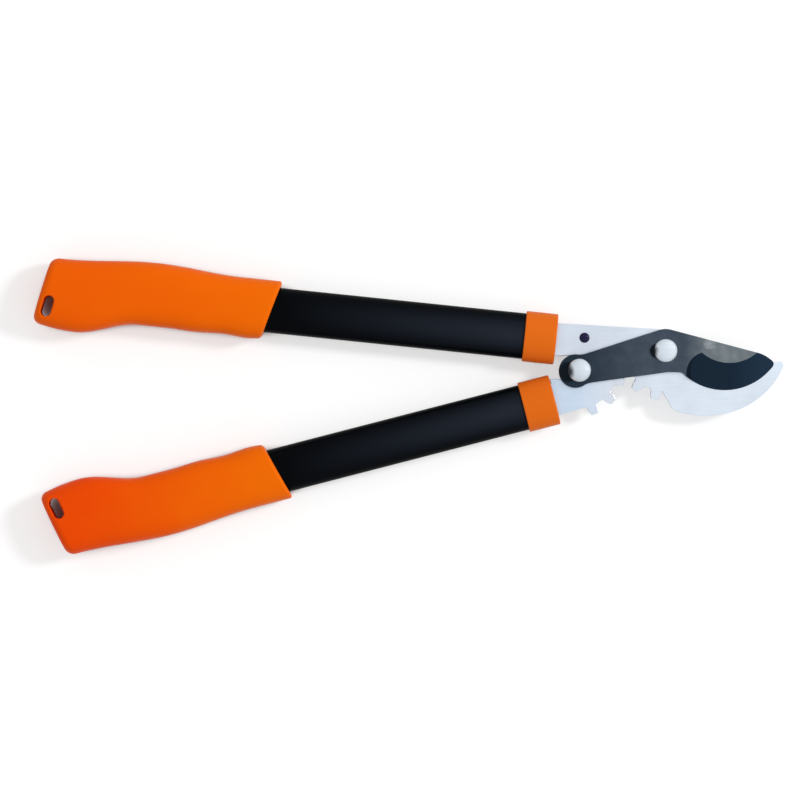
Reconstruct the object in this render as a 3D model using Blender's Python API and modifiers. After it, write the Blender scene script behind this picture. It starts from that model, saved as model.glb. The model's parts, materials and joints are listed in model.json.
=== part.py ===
"""A geared bypass lopper, closed and lying flat on z = 0, in metres.

The main pivot stands on the world's Z axis and the jaw points along +X. Three rigid bodies make it:
the upper handle with the hook, the blade with its lever tail, and the lower handle. The blade turns
on the main pivot. The lower handle turns on the blade's tail, and its gear rolls on the hook's gear,
so one swing of the handle turns the blade by about half as much, with twice the force.
"""

import math

import bmesh
import bpy
from mathutils import Matrix, Vector

# Clearances
GAP = 0.0003
STOP_GAP = 0.0003
BACKLASH = 0.0007

# Gears: stub teeth, the hook's about the main pivot and the lower handle's about the rear pivot
MODULE = 0.004
HOOK_TEETH = 14
HANDLE_TEETH = 13
PRESSURE_ANGLE = math.radians(20)
ADDENDUM = 0.0026
TIP_CLEARANCE = 0.0005
CENTRE_LINE = math.radians(192.8)
HOOK_TEETH_CUT = 4
HANDLE_TEETH_CUT = 4
ROOT_FILLET = 0.0007
FILLET_SAG = 0.3

# Plates and hardware, up the pivot from the floor
THREAD_END = 0.0007
NUT_HEIGHT = 0.0078
NUT_HEX_HEIGHT = 0.0052
NUT_FLATS = 0.013
NUT_COLLAR_DIAMETER = 0.0116
NUT_RING_HEIGHT = 0.002
NUT_RING_DIAMETER = 0.0102
WASHER_THICKNESS = 0.0014
WASHER_DIAMETER = 0.016
PLATE_THICKNESS = 0.005
PLATE_CHAMFER = 0.0004
BLADE_THICKNESS = 0.004
BOLT_DIAMETER = 0.008
BUSH_WALL = 0.001
HEAD_DIAMETER = 0.0140
HEAD_HEIGHT = 0.0044
HEAD_RIM = 0.0012

# Blade outline
BLADE_HUB_RADIUS = 0.0132
TAIL_NECK_RADIUS = 0.0082
TAIL_RADIUS = 0.0102
TAIL_OVERHANG = 0.0024
SPINE_SLOPE = math.radians(-14.9)
SPINE_END_X = 0.0601
SPINE_END_ROUNDING = 0.0040
TIP_ROUNDING = 0.0030
HEEL_FLAT = 0.0025
HEEL_TURN = math.radians(3)
TAIL_BLEND_TURN = math.radians(16)
TAIL_BLEND_RUN = 0.0040
BELLY_CENTRE = Vector((0.0361, 0.0131))
BELLY_RADIUS = 0.0372
BELLY_TIP_ANGLE = math.radians(-33.6)
EDGE_LAND = 0.0004
GRIND_CENTRE = Vector((0.0389, 0.0179))
GRIND_RADIUS = 0.0254
RUN_OUT_CENTRE = Vector((0.0259, -0.0140))
RUN_OUT_RADIUS = 0.0134
RUN_OUT_SLOPE = 0.0038

# Hook outline
HOOK_HUB_RADIUS = 0.0129
JAW_OVERLAP = 0.0020
HOOK_TIP_WIDTH = 0.0052
HOOK_HEEL_WIDTH = 0.0197
HOOK_TIP_ANGLE = math.radians(-31.0)
HOOK_HEEL_ANGLE = math.radians(-115.0)
HOOK_TAPER_BOW = 0.28
HOOK_TIP_ROUNDING = 0.0012
HOOK_TIP_SETBACK = math.radians(1)
THROAT_START = math.radians(5)
THROAT_TURN = math.radians(14)
VALLEY_RISE = 0.0012
VALLEY_TURN = math.radians(10.5)
SHOULDER_RISE = 0.0075
SHOULDER_TURN = math.radians(17.5)
HEEL_BOW = 0.0090
STOP_EDGE_END = 0.0050
RIVET_PLACE = Vector((-0.0494, 0.0079))
RIVET_DIAMETER = 0.0046
RIVET_HEAD_DIAMETER = 0.0062
RIVET_HEAD_HEIGHT = 0.0010

# Lower handle plate
REAR_HUB_RADIUS = 0.0078
REAR_HUB_START = math.radians(72)
REAR_HUB_END = math.radians(196)
STOP_SHOULDER_END = 0.0045
TANG_SHOULDER = 0.0128
WAIST_RUN = 0.0058
WAIST_TURN = math.radians(20)

# Handles: along runs from the collar's front towards the butt, across points away from the other handle
UPPER_AXIS = math.radians(174.1)
LOWER_AXIS = math.radians(194.5)
UPPER_REACH = 0.0671
LOWER_REACH = 0.0190
LOWER_OFFSET = 0.0135
TANG_WIDTH = 0.0200
TANG_DEPTH = 0.0340
TANG_PIN_PLACE = 0.0100
TANG_PIN_DIAMETER = 0.0050
INSERT_LENGTH = 0.0340
TUBE_WIDTH = 0.0280
TUBE_THICKNESS = 0.0190
TUBE_WALL = 0.0015
COLLAR_LENGTH = 0.0195
COLLAR_WALL = 0.0012
COLLAR_FRONT = 0.0018
COLLAR_ROUNDING = 0.0009

# Grip: half widths either side of the handle's axis, with swells added
GRIP_START = 0.1745
GRIP_LENGTH = 0.1405
TUBE_IN_GRIP = 0.0935
SOCKET_SPARE = 0.0065
GRIP_FRONT_SLANT = 0.27
GRIP_BUTT_SLANT = 0.20
GRIP_PALM_SIDE = 0.0182
GRIP_FINGER_SIDE = 0.0176
GRIP_ROUND_HEIGHT = 0.0278
GRIP_SQUARENESS = 2.4
GRIP_FRONT_ROUNDING = 0.0020
GRIP_BUTT_ROUNDING = 0.0050
GRIP_BUTT_DEPTH = 0.0042

# Swells: place behind the grip's front, reach towards the jaw and towards the butt, and height
STOP_FROM_BUTT = 0.0240
PALM_SWELL = (0.0735, 0.0550, 0.0550, 0.0033)
FRONT_SWELL = (0.0135, 0.0160, 0.0160, 0.0011)
FINGER_SWELL = (0.0455, 0.0170, 0.0170, 0.0007)
FINGER_STOP = (GRIP_LENGTH - STOP_FROM_BUTT, 0.0360, 0.0600, 0.0083)

# Hang slot: its middle ahead of the butt, and inside the handle's axis
SLOT_FROM_BUTT = 0.0043
SLOT_ACROSS = -0.0117
SLOT_WIDTH = 0.0064
SLOT_LENGTH = 0.0130

# How far a cutter runs past what it cuts, across the plates and through them
PAST = 0.0100
PAST_FACE = 0.0040
CUTTER_STEP = 0.0005

# Facets
ROUND_STEPS = 36
OVAL_STEPS = 36
SMALL_STEPS = 20
FLANK_STEPS = 5
GRIP_SIDES = 28
GRIP_RINGS = 22

# Heights, worked out from the stack of the pivot
NUT_TOP = THREAD_END + NUT_HEIGHT
WASHER_BOTTOM = NUT_TOP + GAP
PLATE_BOTTOM = WASHER_BOTTOM + WASHER_THICKNESS + GAP
PLATE_MIDDLE = PLATE_BOTTOM + PLATE_THICKNESS / 2
BLADE_BOTTOM = PLATE_BOTTOM + PLATE_THICKNESS + GAP
BLADE_TOP = BLADE_BOTTOM + BLADE_THICKNESS
HEAD_BOTTOM = BLADE_TOP + GAP

# Gear circles
HOOK_PITCH_RADIUS = MODULE * HOOK_TEETH / 2
HANDLE_PITCH_RADIUS = MODULE * HANDLE_TEETH / 2
CENTRE_DISTANCE = HOOK_PITCH_RADIUS + HANDLE_PITCH_RADIUS
HOLE_RADIUS = BOLT_DIAMETER / 2 + GAP
BUSH_RADIUS = HOLE_RADIUS + BUSH_WALL


def polar(radius, angle, centre=(0.0, 0.0)):
    """The point at this radius and angle about a centre."""
    return Vector((centre[0] + radius * math.cos(angle), centre[1] + radius * math.sin(angle)))


MAIN_PIVOT = Vector((0.0, 0.0))
REAR_PIVOT = polar(CENTRE_DISTANCE, CENTRE_LINE)


# Scene


def clear_scene():
    for old in list(bpy.data.objects):
        bpy.data.objects.remove(old, do_unlink=True)


def new_collection(name):
    collection = bpy.data.collections.new(name)
    bpy.context.scene.collection.children.link(collection)
    return collection


def new_material(name, colour, roughness, metallic):
    material = bpy.data.materials.new(name)
    material.use_nodes = True
    shader = material.node_tree.nodes["Principled BSDF"]
    shader.inputs["Base Color"].default_value = (*colour, 1.0)
    shader.inputs["Roughness"].default_value = roughness
    shader.inputs["Metallic"].default_value = metallic
    return material


def new_empty(name, collection, place=(0.0, 0.0, 0.0), parent=None):
    empty = bpy.data.objects.new(name, None)
    empty.empty_display_size = MODULE
    empty.location = place
    empty.parent = parent
    collection.objects.link(empty)
    return empty


def add_object(name, mesh, collection, parent, material=None):
    made = bpy.data.objects.new(name, mesh)
    made.parent = parent
    collection.objects.link(made)
    if material is not None and material.name not in mesh.materials:
        mesh.materials.append(material)
    return made


def cut(solid, cutter, operation="DIFFERENCE"):
    """Boolean of a cutter on a solid. The cutter is left as a wire guide."""
    boolean = solid.modifiers.new(cutter.name, "BOOLEAN")
    boolean.operation = operation
    boolean.solver = "EXACT"
    boolean.object = cutter


def as_cutter(cutter):
    cutter.hide_render = True
    cutter.display_type = "WIRE"
    return cutter


# Outlines: lists of 2D points, anticlockwise


def arc(centre, radius, start, end, steps):
    """Points along an arc from the start angle to the end angle, both included."""
    turn = (end - start) / steps
    return [polar(radius, start + turn * i, centre) for i in range(steps + 1)]


def circle(centre, radius, steps=ROUND_STEPS):
    return arc(centre, radius, 0.0, 2 * math.pi, steps)[:-1]


def bend(start, corner, end, steps=5):
    """A quadratic curve from start to end that rounds the corner."""
    points = []
    for i in range(steps + 1):
        t = i / steps
        points.append(start * (1 - t) ** 2 + corner * 2 * t * (1 - t) + end * t**2)
    return points


def rounded(before, corner, after, radius, steps=5):
    """The corner between two straight sides, rounded from a radius before it to a radius after it."""
    start = corner + (before - corner).normalized() * radius
    end = corner + (after - corner).normalized() * radius
    return bend(start, corner, end, steps)


def ellipse(width, height, steps=OVAL_STEPS):
    turn = 2 * math.pi / steps
    return [Vector((width / 2 * math.cos(turn * i), height / 2 * math.sin(turn * i))) for i in range(steps)]


def involute(angle):
    return math.tan(angle) - angle


def half_tooth(radius, pitch_radius):
    """Half the angle that a tooth covers at a radius, with half the backlash taken off each tooth."""
    base = pitch_radius * math.cos(PRESSURE_ANGLE)
    thickness = math.pi * MODULE / 2 - BACKLASH / 2
    at_pitch = thickness / 2 / pitch_radius
    rise = involute(math.acos(min(1.0, base / max(radius, base))))
    return at_pitch + involute(PRESSURE_ANGLE) - rise


def tooth(pitch_radius, centre_angle, sides=(-1, 1)):
    """One tooth about the origin, from its clockwise root to its anticlockwise root, or one side of it."""
    base = pitch_radius * math.cos(PRESSURE_ANGLE)
    tip = pitch_radius + ADDENDUM
    root = root_radius(pitch_radius)
    low = max(base, root + ROOT_FILLET)
    flank = [low + (tip - low) * i / FLANK_STEPS for i in range(FLANK_STEPS + 1)]
    foot_angle = half_tooth(base, pitch_radius)
    points = []
    for side in sides:
        spread = ROOT_FILLET / root
        one = [polar(root, centre_angle + side * (foot_angle + spread))]
        sag_angle = centre_angle + side * (foot_angle + FILLET_SAG * spread)
        one.append(polar(root + FILLET_SAG * ROOT_FILLET, sag_angle))
        one += [polar(r, centre_angle + side * half_tooth(r, pitch_radius)) for r in flank]
        points += one if side < 0 else one[::-1]
    return points


def root_radius(pitch_radius):
    return pitch_radius - ADDENDUM - TIP_CLEARANCE


def tooth_pitch(teeth):
    return 2 * math.pi / teeth


def tangent_angle(near_centre, near_radius, far_centre, far_radius, side):
    """Direction from the far centre, at which a line that touches both circles touches each of them."""
    along = near_centre - far_centre
    heading = math.atan2(along.y, along.x)
    return (heading + side * math.acos((far_radius - near_radius) / along.length)) % (2 * math.pi)


def tangent_from_point(centre, radius, point, side):
    """Direction from the centre at which a line from the point touches the circle."""
    away = point - centre
    return math.atan2(away.y, away.x) + side * math.acos(radius / away.length)


# Solids


def flat_plate(name, loops, thickness, chamfer, height):
    """A flat outline with its holes, as a filled 2D curve with an extrusion and a chamfer, made a mesh."""
    curve = bpy.data.curves.new(name, "CURVE")
    curve.dimensions = "2D"
    curve.fill_mode = "BOTH"
    curve.extrude = thickness / 2 - chamfer
    curve.bevel_depth = chamfer
    curve.bevel_resolution = 0
    curve.offset = -chamfer
    for loop in loops:
        spline = curve.splines.new("POLY")
        spline.points.add(len(loop) - 1)
        for point, place in zip(spline.points, loop):
            point.co = (place.x, place.y, 0.0, 1.0)
        spline.use_cyclic_u = True
    guide = bpy.data.objects.new(name, curve)
    guide.location.z = height
    bpy.context.scene.collection.objects.link(guide)
    mesh = mesh_of(guide)
    mesh.transform(guide.matrix_world)
    bpy.data.objects.remove(guide)
    return mesh


def mesh_of(guide):
    """The mesh of a curve, with the caps welded to its sides."""
    bpy.context.view_layer.update()
    graph = bpy.context.evaluated_depsgraph_get()
    mesh = bpy.data.meshes.new_from_object(guide.evaluated_get(graph))
    mesh.name = guide.name
    shape = bmesh.new()
    shape.from_mesh(mesh)
    bmesh.ops.remove_doubles(shape, verts=shape.verts, dist=1e-7)
    bmesh.ops.recalc_face_normals(shape, faces=shape.faces)
    shape.to_mesh(mesh)
    shape.free()
    return mesh


def along_handle(mesh):
    """Turns a flat section and its extrusion so that the extrusion runs along local X."""
    mesh.transform(Matrix(((0, 0, 1, 0), (1, 0, 0, 0), (0, 1, 0, 0), (0, 0, 0, 1))))
    return mesh


def section_bar(name, loops, start, end, chamfer=0.0):
    """A bar of constant section along local X between two places."""
    return along_handle(flat_plate(name, loops, end - start, chamfer, (start + end) / 2))


def turned(name, profile, closed):
    """A profile of (radius, height) points, turned about Z by a Screw modifier on the object it goes to."""
    mesh = bpy.data.meshes.new(name)
    edges = [(i, i + 1) for i in range(len(profile) - 1)]
    if closed:
        edges.append((len(profile) - 1, 0))
    mesh.from_pydata([(radius, 0.0, height) for radius, height in profile], edges, [])
    return mesh


def add_turned(name, profile, collection, parent, material=None, closed=False):
    made = add_object(name, turned(name, profile, closed), collection, parent, material)
    screw = made.modifiers.new("turn", "SCREW")
    screw.axis = "Z"
    screw.angle = 2 * math.pi
    screw.steps = ROUND_STEPS
    screw.render_steps = ROUND_STEPS
    screw.use_merge_vertices = True
    screw.merge_threshold = 1e-6
    return made


def cylinder_cutter(name, radius, bottom, top, collection, parent, place=(0.0, 0.0)):
    shape = bmesh.new()
    middle = Matrix.Translation((place[0], place[1], (bottom + top) / 2))
    bmesh.ops.create_cone(
        shape, cap_ends=True, segments=24, radius1=radius, radius2=radius, depth=top - bottom, matrix=middle
    )
    mesh = bpy.data.meshes.new(name)
    shape.to_mesh(mesh)
    shape.free()
    return as_cutter(add_object(name, mesh, collection, parent))


def smooth(solid, angle=math.radians(35)):
    solid.data.shade_smooth()
    solid.data.set_sharp_from_angle(angle=angle)


# Handles


class Handle:
    """One handle's frame: its collar front, its direction towards the butt and its outward side."""

    def __init__(self, name, front, axis, outward):
        self.name = name
        self.front = front
        self.along = polar(1.0, axis)
        self.across = Vector((-self.along.y, self.along.x)) * outward
        self.outward = outward

    def point(self, along, across):
        return self.front + self.along * along + self.across * across

    def matrix(self, origin):
        """Local X along the handle, Y outward and Z up or down, so both handles take the same meshes."""
        place = self.front - origin
        return Matrix(
            (
                (self.along.x, self.across.x, 0.0, place.x),
                (self.along.y, self.across.y, 0.0, place.y),
                (0.0, 0.0, self.outward, PLATE_MIDDLE),
                (0.0, 0.0, 0.0, 1.0),
            )
        )


UPPER = Handle("upper", polar(UPPER_REACH, UPPER_AXIS), UPPER_AXIS, -1)
LOWER = Handle(
    "lower",
    REAR_PIVOT + polar(LOWER_REACH, LOWER_AXIS) + polar(LOWER_OFFSET, LOWER_AXIS + math.pi / 2),
    LOWER_AXIS,
    1,
)


def stop_line(offset):
    """The tang's inner edge, which the gear plate's shoulder meets when the jaw is shut, moved inward."""
    start = UPPER.point(0.0, -TANG_WIDTH / 2)
    end = Vector((-(HOOK_PITCH_RADIUS + ADDENDUM + STOP_EDGE_END), start.y))
    down = Vector((0.0, -offset))
    return start + down, end + down


def hook_outline():
    """Tang, stop edge, gear teeth, heel, hook, jaw arc, hub and back edge, anticlockwise."""
    half = TANG_WIDTH / 2
    stop_start, stop_end = stop_line(0.0)
    points = [UPPER.point(TANG_DEPTH, -half), stop_start, stop_end]
    pitch = tooth_pitch(HOOK_TEETH)
    first = CENTRE_LINE - pitch / 2
    points += tooth(HOOK_PITCH_RADIUS, first, sides=(1,))
    for i in range(1, HOOK_TEETH_CUT):
        points += tooth(HOOK_PITCH_RADIUS, first + pitch * i)
    points += hook_back(first + pitch * (HOOK_TEETH_CUT - 1))
    points += jaw_arc()
    back_corner = UPPER.point(0.0, half)
    back_touch = tangent_from_point(MAIN_PIVOT, HOOK_HUB_RADIUS, back_corner, -1)
    points += arc(MAIN_PIVOT, HOOK_HUB_RADIUS, throat_angle() + THROAT_TURN, back_touch, 9)
    points += [back_corner, UPPER.point(TANG_DEPTH, half)]
    return points


def hook_back(last_tooth):
    """From the last tooth's root round the heel, then a spiral about the belly's centre to the tip."""
    root = root_radius(HOOK_PITCH_RADIUS)
    valley = polar(root + VALLEY_RISE, last_tooth + VALLEY_TURN)
    shoulder = polar(root + SHOULDER_RISE, last_tooth + SHOULDER_TURN)
    spiral = []
    steps = 12
    for i in range(steps + 1):
        t = 1 - i / steps
        share = (1 - HOOK_TAPER_BOW) * t + HOOK_TAPER_BOW * t * t
        width = HOOK_TIP_WIDTH + (HOOK_HEEL_WIDTH - HOOK_TIP_WIDTH) * share
        angle = HOOK_TIP_ANGLE + (HOOK_HEEL_ANGLE - HOOK_TIP_ANGLE) * t
        spiral.append(polar(BELLY_RADIUS + width, angle, BELLY_CENTRE))
    entry = spiral[0] - (spiral[1] - spiral[0]).normalized() * HEEL_BOW
    return [valley] + bend(shoulder, entry, spiral[0], 6)[:-1] + spiral


def jaw_radius():
    return BELLY_RADIUS - JAW_OVERLAP


def throat_angle():
    """Direction from the main pivot at which the jaw's arc meets the hub."""
    reach = BELLY_CENTRE.length
    opening = (reach**2 + HOOK_HUB_RADIUS**2 - jaw_radius() ** 2) / (2 * reach * HOOK_HUB_RADIUS)
    return math.atan2(BELLY_CENTRE.y, BELLY_CENTRE.x) - math.acos(opening)


def jaw_arc():
    """The blunt tip, the concave jaw that the blade passes, and the throat by the hub."""
    throat = polar(HOOK_HUB_RADIUS, throat_angle())
    inward = throat - BELLY_CENTRE
    throat_end = math.atan2(inward.y, inward.x)
    jaw_end = BELLY_TIP_ANGLE - HOOK_TIP_SETBACK
    outer = polar(BELLY_RADIUS + HOOK_TIP_WIDTH, HOOK_TIP_ANGLE, BELLY_CENTRE)
    inner = polar(jaw_radius(), jaw_end, BELLY_CENTRE)
    tip_top = Vector((outer.x - HOOK_TIP_ROUNDING / 2, inner.y + HOOK_TIP_ROUNDING / 3))
    tip = rounded(outer, tip_top, inner, HOOK_TIP_ROUNDING, 4)
    start = throat_end + THROAT_START
    sweep = arc(BELLY_CENTRE, jaw_radius(), jaw_end, start - 2 * math.pi * (start > 0), 30)
    seat = bend(sweep[-1], throat, polar(HOOK_HUB_RADIUS, throat_angle() + THROAT_TURN), 5)
    return tip + sweep[:-1] + seat[:-1]


def gear_outline():
    """Tang, outer edge, gear teeth, stop shoulder, hub and inner edge, about the rear pivot."""
    half = TANG_WIDTH / 2

    def seen(point):
        return point - REAR_PIVOT

    points = [seen(LOWER.point(TANG_DEPTH, half)), seen(LOWER.point(0.0, half))]
    pitch = tooth_pitch(HANDLE_TEETH)
    facing = CENTRE_LINE - math.pi
    for i in range(HANDLE_TEETH_CUT):
        points += tooth(HANDLE_PITCH_RADIUS, facing - pitch * (HANDLE_TEETH_CUT - 1 - i))
    stop_start, stop_end = stop_line(STOP_GAP)
    shoulder_end = seen(Vector((REAR_PIVOT.x + STOP_SHOULDER_END, stop_end.y)))
    points += [seen(stop_end), shoulder_end]
    inner_corner = seen(LOWER.point(-GAP, -TANG_SHOULDER))
    waist = inner_corner + Vector((WAIST_RUN, 0.0))
    points += arc(MAIN_PIVOT, REAR_HUB_RADIUS, REAR_HUB_START, REAR_HUB_END, 12)
    waist_corner = polar(REAR_HUB_RADIUS / math.cos(WAIST_TURN), REAR_HUB_END + WAIST_TURN)
    points += bend(points[-1], waist_corner, waist, 4)[1:]
    points += [inner_corner, seen(LOWER.point(-GAP, -half)), seen(LOWER.point(TANG_DEPTH, -half))]
    return points


def blade_outline():
    """Tail disc, lever, hub, belly, tip, spine and the lever's top edge, anticlockwise."""
    tail = polar(CENTRE_DISTANCE + TAIL_OVERHANG, CENTRE_LINE)
    under = tangent_angle(tail, TAIL_NECK_RADIUS, MAIN_PIVOT, BLADE_HUB_RADIUS, 1)
    over = tangent_angle(tail, TAIL_NECK_RADIUS, MAIN_PIVOT, BLADE_HUB_RADIUS, -1)
    neck = math.acos(TAIL_NECK_RADIUS / TAIL_RADIUS)
    under_disc = under + neck
    over_disc = over - neck
    points = arc(tail, TAIL_RADIUS, over_disc + TAIL_BLEND_TURN, under_disc - TAIL_BLEND_TURN, 22)
    under_corner = polar(TAIL_RADIUS, under_disc, tail)
    under_touch = polar(BLADE_HUB_RADIUS, under)
    under_next = under_corner + (under_touch - under_corner).normalized() * TAIL_BLEND_RUN
    points += bend(points[-1], under_corner, under_next, 4)[1:]
    points += [under_touch]
    points += belly_and_tip()
    spine_touch = SPINE_SLOPE + math.pi / 2
    points += arc(MAIN_PIVOT, BLADE_HUB_RADIUS, spine_touch, over, 8)
    over_corner = polar(TAIL_RADIUS, over_disc, tail)
    over_touch = polar(BLADE_HUB_RADIUS, over)
    over_next = over_corner + (over_touch - over_corner).normalized() * TAIL_BLEND_RUN
    points += bend(over_next, over_corner, points[0], 4)[:-1]
    return points


def belly_and_tip():
    """Heel under the hub, the belly's arc, the tip and the spine back to the hub."""
    heel_y = -BLADE_HUB_RADIUS
    drop = BELLY_CENTRE.y - heel_y
    heel = Vector((BELLY_CENTRE.x - math.sqrt(BELLY_RADIUS**2 - drop**2), heel_y))
    back = heel - BELLY_CENTRE
    start = math.atan2(back.y, back.x) + HEEL_TURN
    belly = arc(BELLY_CENTRE, BELLY_RADIUS, start, BELLY_TIP_ANGLE - TIP_ROUNDING / BELLY_RADIUS, 36)
    heel_round = bend(heel - Vector((HEEL_FLAT, 0.0)), heel, belly[0], 4)
    spine_touch = polar(BLADE_HUB_RADIUS, SPINE_SLOPE + math.pi / 2)
    spine_run = (SPINE_END_X - spine_touch.x) / math.cos(SPINE_SLOPE)
    spine_end = spine_touch + polar(spine_run, SPINE_SLOPE)
    tip = polar(BELLY_RADIUS, BELLY_TIP_ANGLE, BELLY_CENTRE)
    tip_round = bend(belly[-1], tip, tip + (spine_end - tip).normalized() * TIP_ROUNDING, 5)
    spine_round = rounded(tip, spine_end, spine_touch, SPINE_END_ROUNDING, 5)
    return heel_round[:-1] + belly[:-1] + tip_round + spine_round


# Grip


def swell(along, shape):
    """A rise of cosine form, at a place along the grip from its front."""
    place, before, behind, height = shape
    reach = behind if along > place else before
    t = min(1.0, abs(along - place) / reach)
    return height * (0.5 + 0.5 * math.cos(math.pi * t))


def palm_side(along):
    return GRIP_PALM_SIDE + swell(along, PALM_SWELL)


def finger_side(along):
    swells = (FINGER_STOP, FRONT_SWELL, FINGER_SWELL)
    return GRIP_FINGER_SIDE + sum(swell(along, shape) for shape in swells)


def grip_rings():
    """(place along, how far the ring is drawn in) for each ring, closer together round both ends."""
    rings = []
    for i in range(4):
        turn = math.pi / 2 * i / 4
        rings.append((GRIP_FRONT_ROUNDING * (1 - math.cos(turn)), GRIP_FRONT_ROUNDING * (1 - math.sin(turn))))
    start, end = GRIP_FRONT_ROUNDING, GRIP_LENGTH - GRIP_BUTT_ROUNDING
    for i in range(GRIP_RINGS):
        rings.append((start + (end - start) * i / (GRIP_RINGS - 1), 0.0))
    for i in range(1, 6):
        turn = math.pi / 2 * i / 5
        rings.append((end + GRIP_BUTT_ROUNDING * math.sin(turn), GRIP_BUTT_DEPTH * (1 - math.cos(turn))))
    return rings


def grip_ring(place, drawn_in):
    """A superellipse with flats above and below, in a plane that slants like the grip's ends."""
    slant = GRIP_FRONT_SLANT + (GRIP_BUTT_SLANT - GRIP_FRONT_SLANT) * place / GRIP_LENGTH
    outer = palm_side(place - slant * GRIP_PALM_SIDE) - drawn_in
    inner = finger_side(place + slant * GRIP_FINGER_SIDE) - drawn_in
    centre = (outer - inner) / 2
    half_width = (outer + inner) / 2
    half_height = GRIP_ROUND_HEIGHT / 2 - drawn_in
    flat = PLATE_MIDDLE - drawn_in
    ring = []
    for i in range(GRIP_SIDES):
        turn = 2 * math.pi * (i + 0.5) / GRIP_SIDES
        power = 2 / GRIP_SQUARENESS
        c, s = math.cos(turn), math.sin(turn)
        across = centre + half_width * math.copysign(abs(c) ** power, c)
        height = half_height * math.copysign(abs(s) ** power, s)
        ring.append((GRIP_START + place - slant * across, across, max(-flat, min(flat, height))))
    return ring


def grip_mesh():
    """A loft through the grip's rings, closed by a flat face at each end."""
    shape = bmesh.new()
    rings = [[shape.verts.new(co) for co in grip_ring(*ring)] for ring in grip_rings()]
    for one, two in zip(rings, rings[1:]):
        for i in range(GRIP_SIDES):
            k = (i + 1) % GRIP_SIDES
            shape.faces.new((one[i], one[k], two[k], two[i]))
    shape.faces.new(rings[0][::-1])
    shape.faces.new(rings[-1])
    bmesh.ops.recalc_face_normals(shape, faces=shape.faces)
    mesh = bpy.data.meshes.new("grip")
    shape.to_mesh(mesh)
    shape.free()
    return mesh


def slot_outline():
    """A slot with round ends, turned so that it lies alongside the butt."""
    turn = math.atan(GRIP_BUTT_SLANT)
    radius = SLOT_WIDTH / 2
    upper = Vector((0.0, SLOT_LENGTH / 2 - radius))
    points = arc(upper, radius, 0.0, math.pi, 8) + arc(-upper, radius, math.pi, 2 * math.pi, 8)
    middle = Vector((GRIP_START + GRIP_LENGTH - SLOT_FROM_BUTT, SLOT_ACROSS))
    c, s = math.cos(turn), math.sin(turn)
    return [Vector((p.x * c - p.y * s, p.x * s + p.y * c)) + middle for p in points]


# Parts of a handle


def handle_parts(handle, parent, origin, parts, cutters, materials, meshes):
    frame = new_empty(handle.name + "_handle_axis", parts, parent=parent)
    frame.matrix_local = handle.matrix(origin)
    name = handle.name

    pin_hole = cylinder_cutter(
        name + "_pin_hole",
        TANG_PIN_DIAMETER / 2 + GAP,
        -TUBE_THICKNESS,
        TUBE_THICKNESS,
        cutters,
        frame,
        (TANG_PIN_PLACE, 0.0),
    )
    tube = add_object(name + "_tube", meshes["tube"], parts, frame, materials["tube"])
    cut(tube, pin_hole)
    smooth(tube)

    insert = add_object(name + "_tang_insert", meshes["insert"], parts, frame, materials["insert"])
    cut(insert, pin_hole)
    smooth(insert)

    pin = add_object(name + "_tang_pin", meshes["pin"], parts, frame, materials["hardware"])
    smooth(pin)

    collar = add_object(name + "_collar", meshes["collar"], parts, frame, materials["collar"])
    bore = as_cutter(add_object(name + "_collar_bore", meshes["collar_bore"], cutters, frame))
    tang_slot = as_cutter(add_object(name + "_collar_slot", meshes["collar_slot"], cutters, frame))
    cut(collar, bore)
    cut(collar, tang_slot)
    smooth(collar)

    grip = add_object(name + "_grip", meshes["grip"], parts, frame, materials["grip"])
    socket = as_cutter(add_object(name + "_grip_socket", meshes["socket"], cutters, frame))
    hang_slot = as_cutter(add_object(name + "_hang_slot", meshes["hang_slot"], cutters, frame))
    cut(grip, socket)
    cut(grip, hang_slot)
    smooth(grip)
    return pin_hole


def rectangle(width, height):
    x, y = width / 2, height / 2
    return [Vector((-x, -y)), Vector((x, -y)), Vector((x, y)), Vector((-x, y))]


def handle_meshes():
    """The meshes that both handles share, in the handle's own frame."""
    outer = ellipse(TUBE_WIDTH, TUBE_THICKNESS)
    inner_width = TUBE_WIDTH - 2 * TUBE_WALL
    inner_thickness = TUBE_THICKNESS - 2 * TUBE_WALL
    inner = ellipse(inner_width, inner_thickness)
    fit_width = inner_width - 2 * GAP
    fit_thickness = inner_thickness - 2 * GAP
    tube_start = COLLAR_FRONT + GAP
    collar_width = TUBE_WIDTH + 2 * (GAP + COLLAR_WALL)
    collar_thickness = TUBE_THICKNESS + 2 * (GAP + COLLAR_WALL)
    slot = rectangle(TANG_WIDTH + 2 * GAP, PLATE_THICKNESS + 2 * GAP)
    bore = ellipse(TUBE_WIDTH + 2 * GAP, TUBE_THICKNESS + 2 * GAP)
    pin = flat_plate(
        "tang_pin",
        [circle((TANG_PIN_PLACE, 0.0), TANG_PIN_DIAMETER / 2, SMALL_STEPS)],
        TUBE_THICKNESS,
        PLATE_CHAMFER,
        0.0,
    )
    return {
        "tube": section_bar("tube", [outer, inner[::-1]], tube_start, GRIP_START + TUBE_IN_GRIP),
        "insert": section_bar(
            "tang_insert", [ellipse(fit_width, fit_thickness), slot[::-1]], tube_start, INSERT_LENGTH
        ),
        "pin": pin,
        "collar": section_bar(
            "collar", [ellipse(collar_width, collar_thickness)], 0.0, COLLAR_LENGTH, COLLAR_ROUNDING
        ),
        "collar_bore": section_bar("collar_bore", [bore], COLLAR_FRONT, COLLAR_LENGTH + PAST),
        "collar_slot": section_bar("collar_slot", [slot], -PAST, COLLAR_FRONT + PAST),
        "grip": grip_mesh(),
        "socket": section_bar("socket", [bore], GRIP_START - PAST, GRIP_START + TUBE_IN_GRIP + SOCKET_SPARE),
        "hang_slot": flat_plate("hang_slot", [slot_outline()], 2 * GRIP_ROUND_HEIGHT, 0.0, 0.0),
    }


# Pivot hardware


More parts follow.
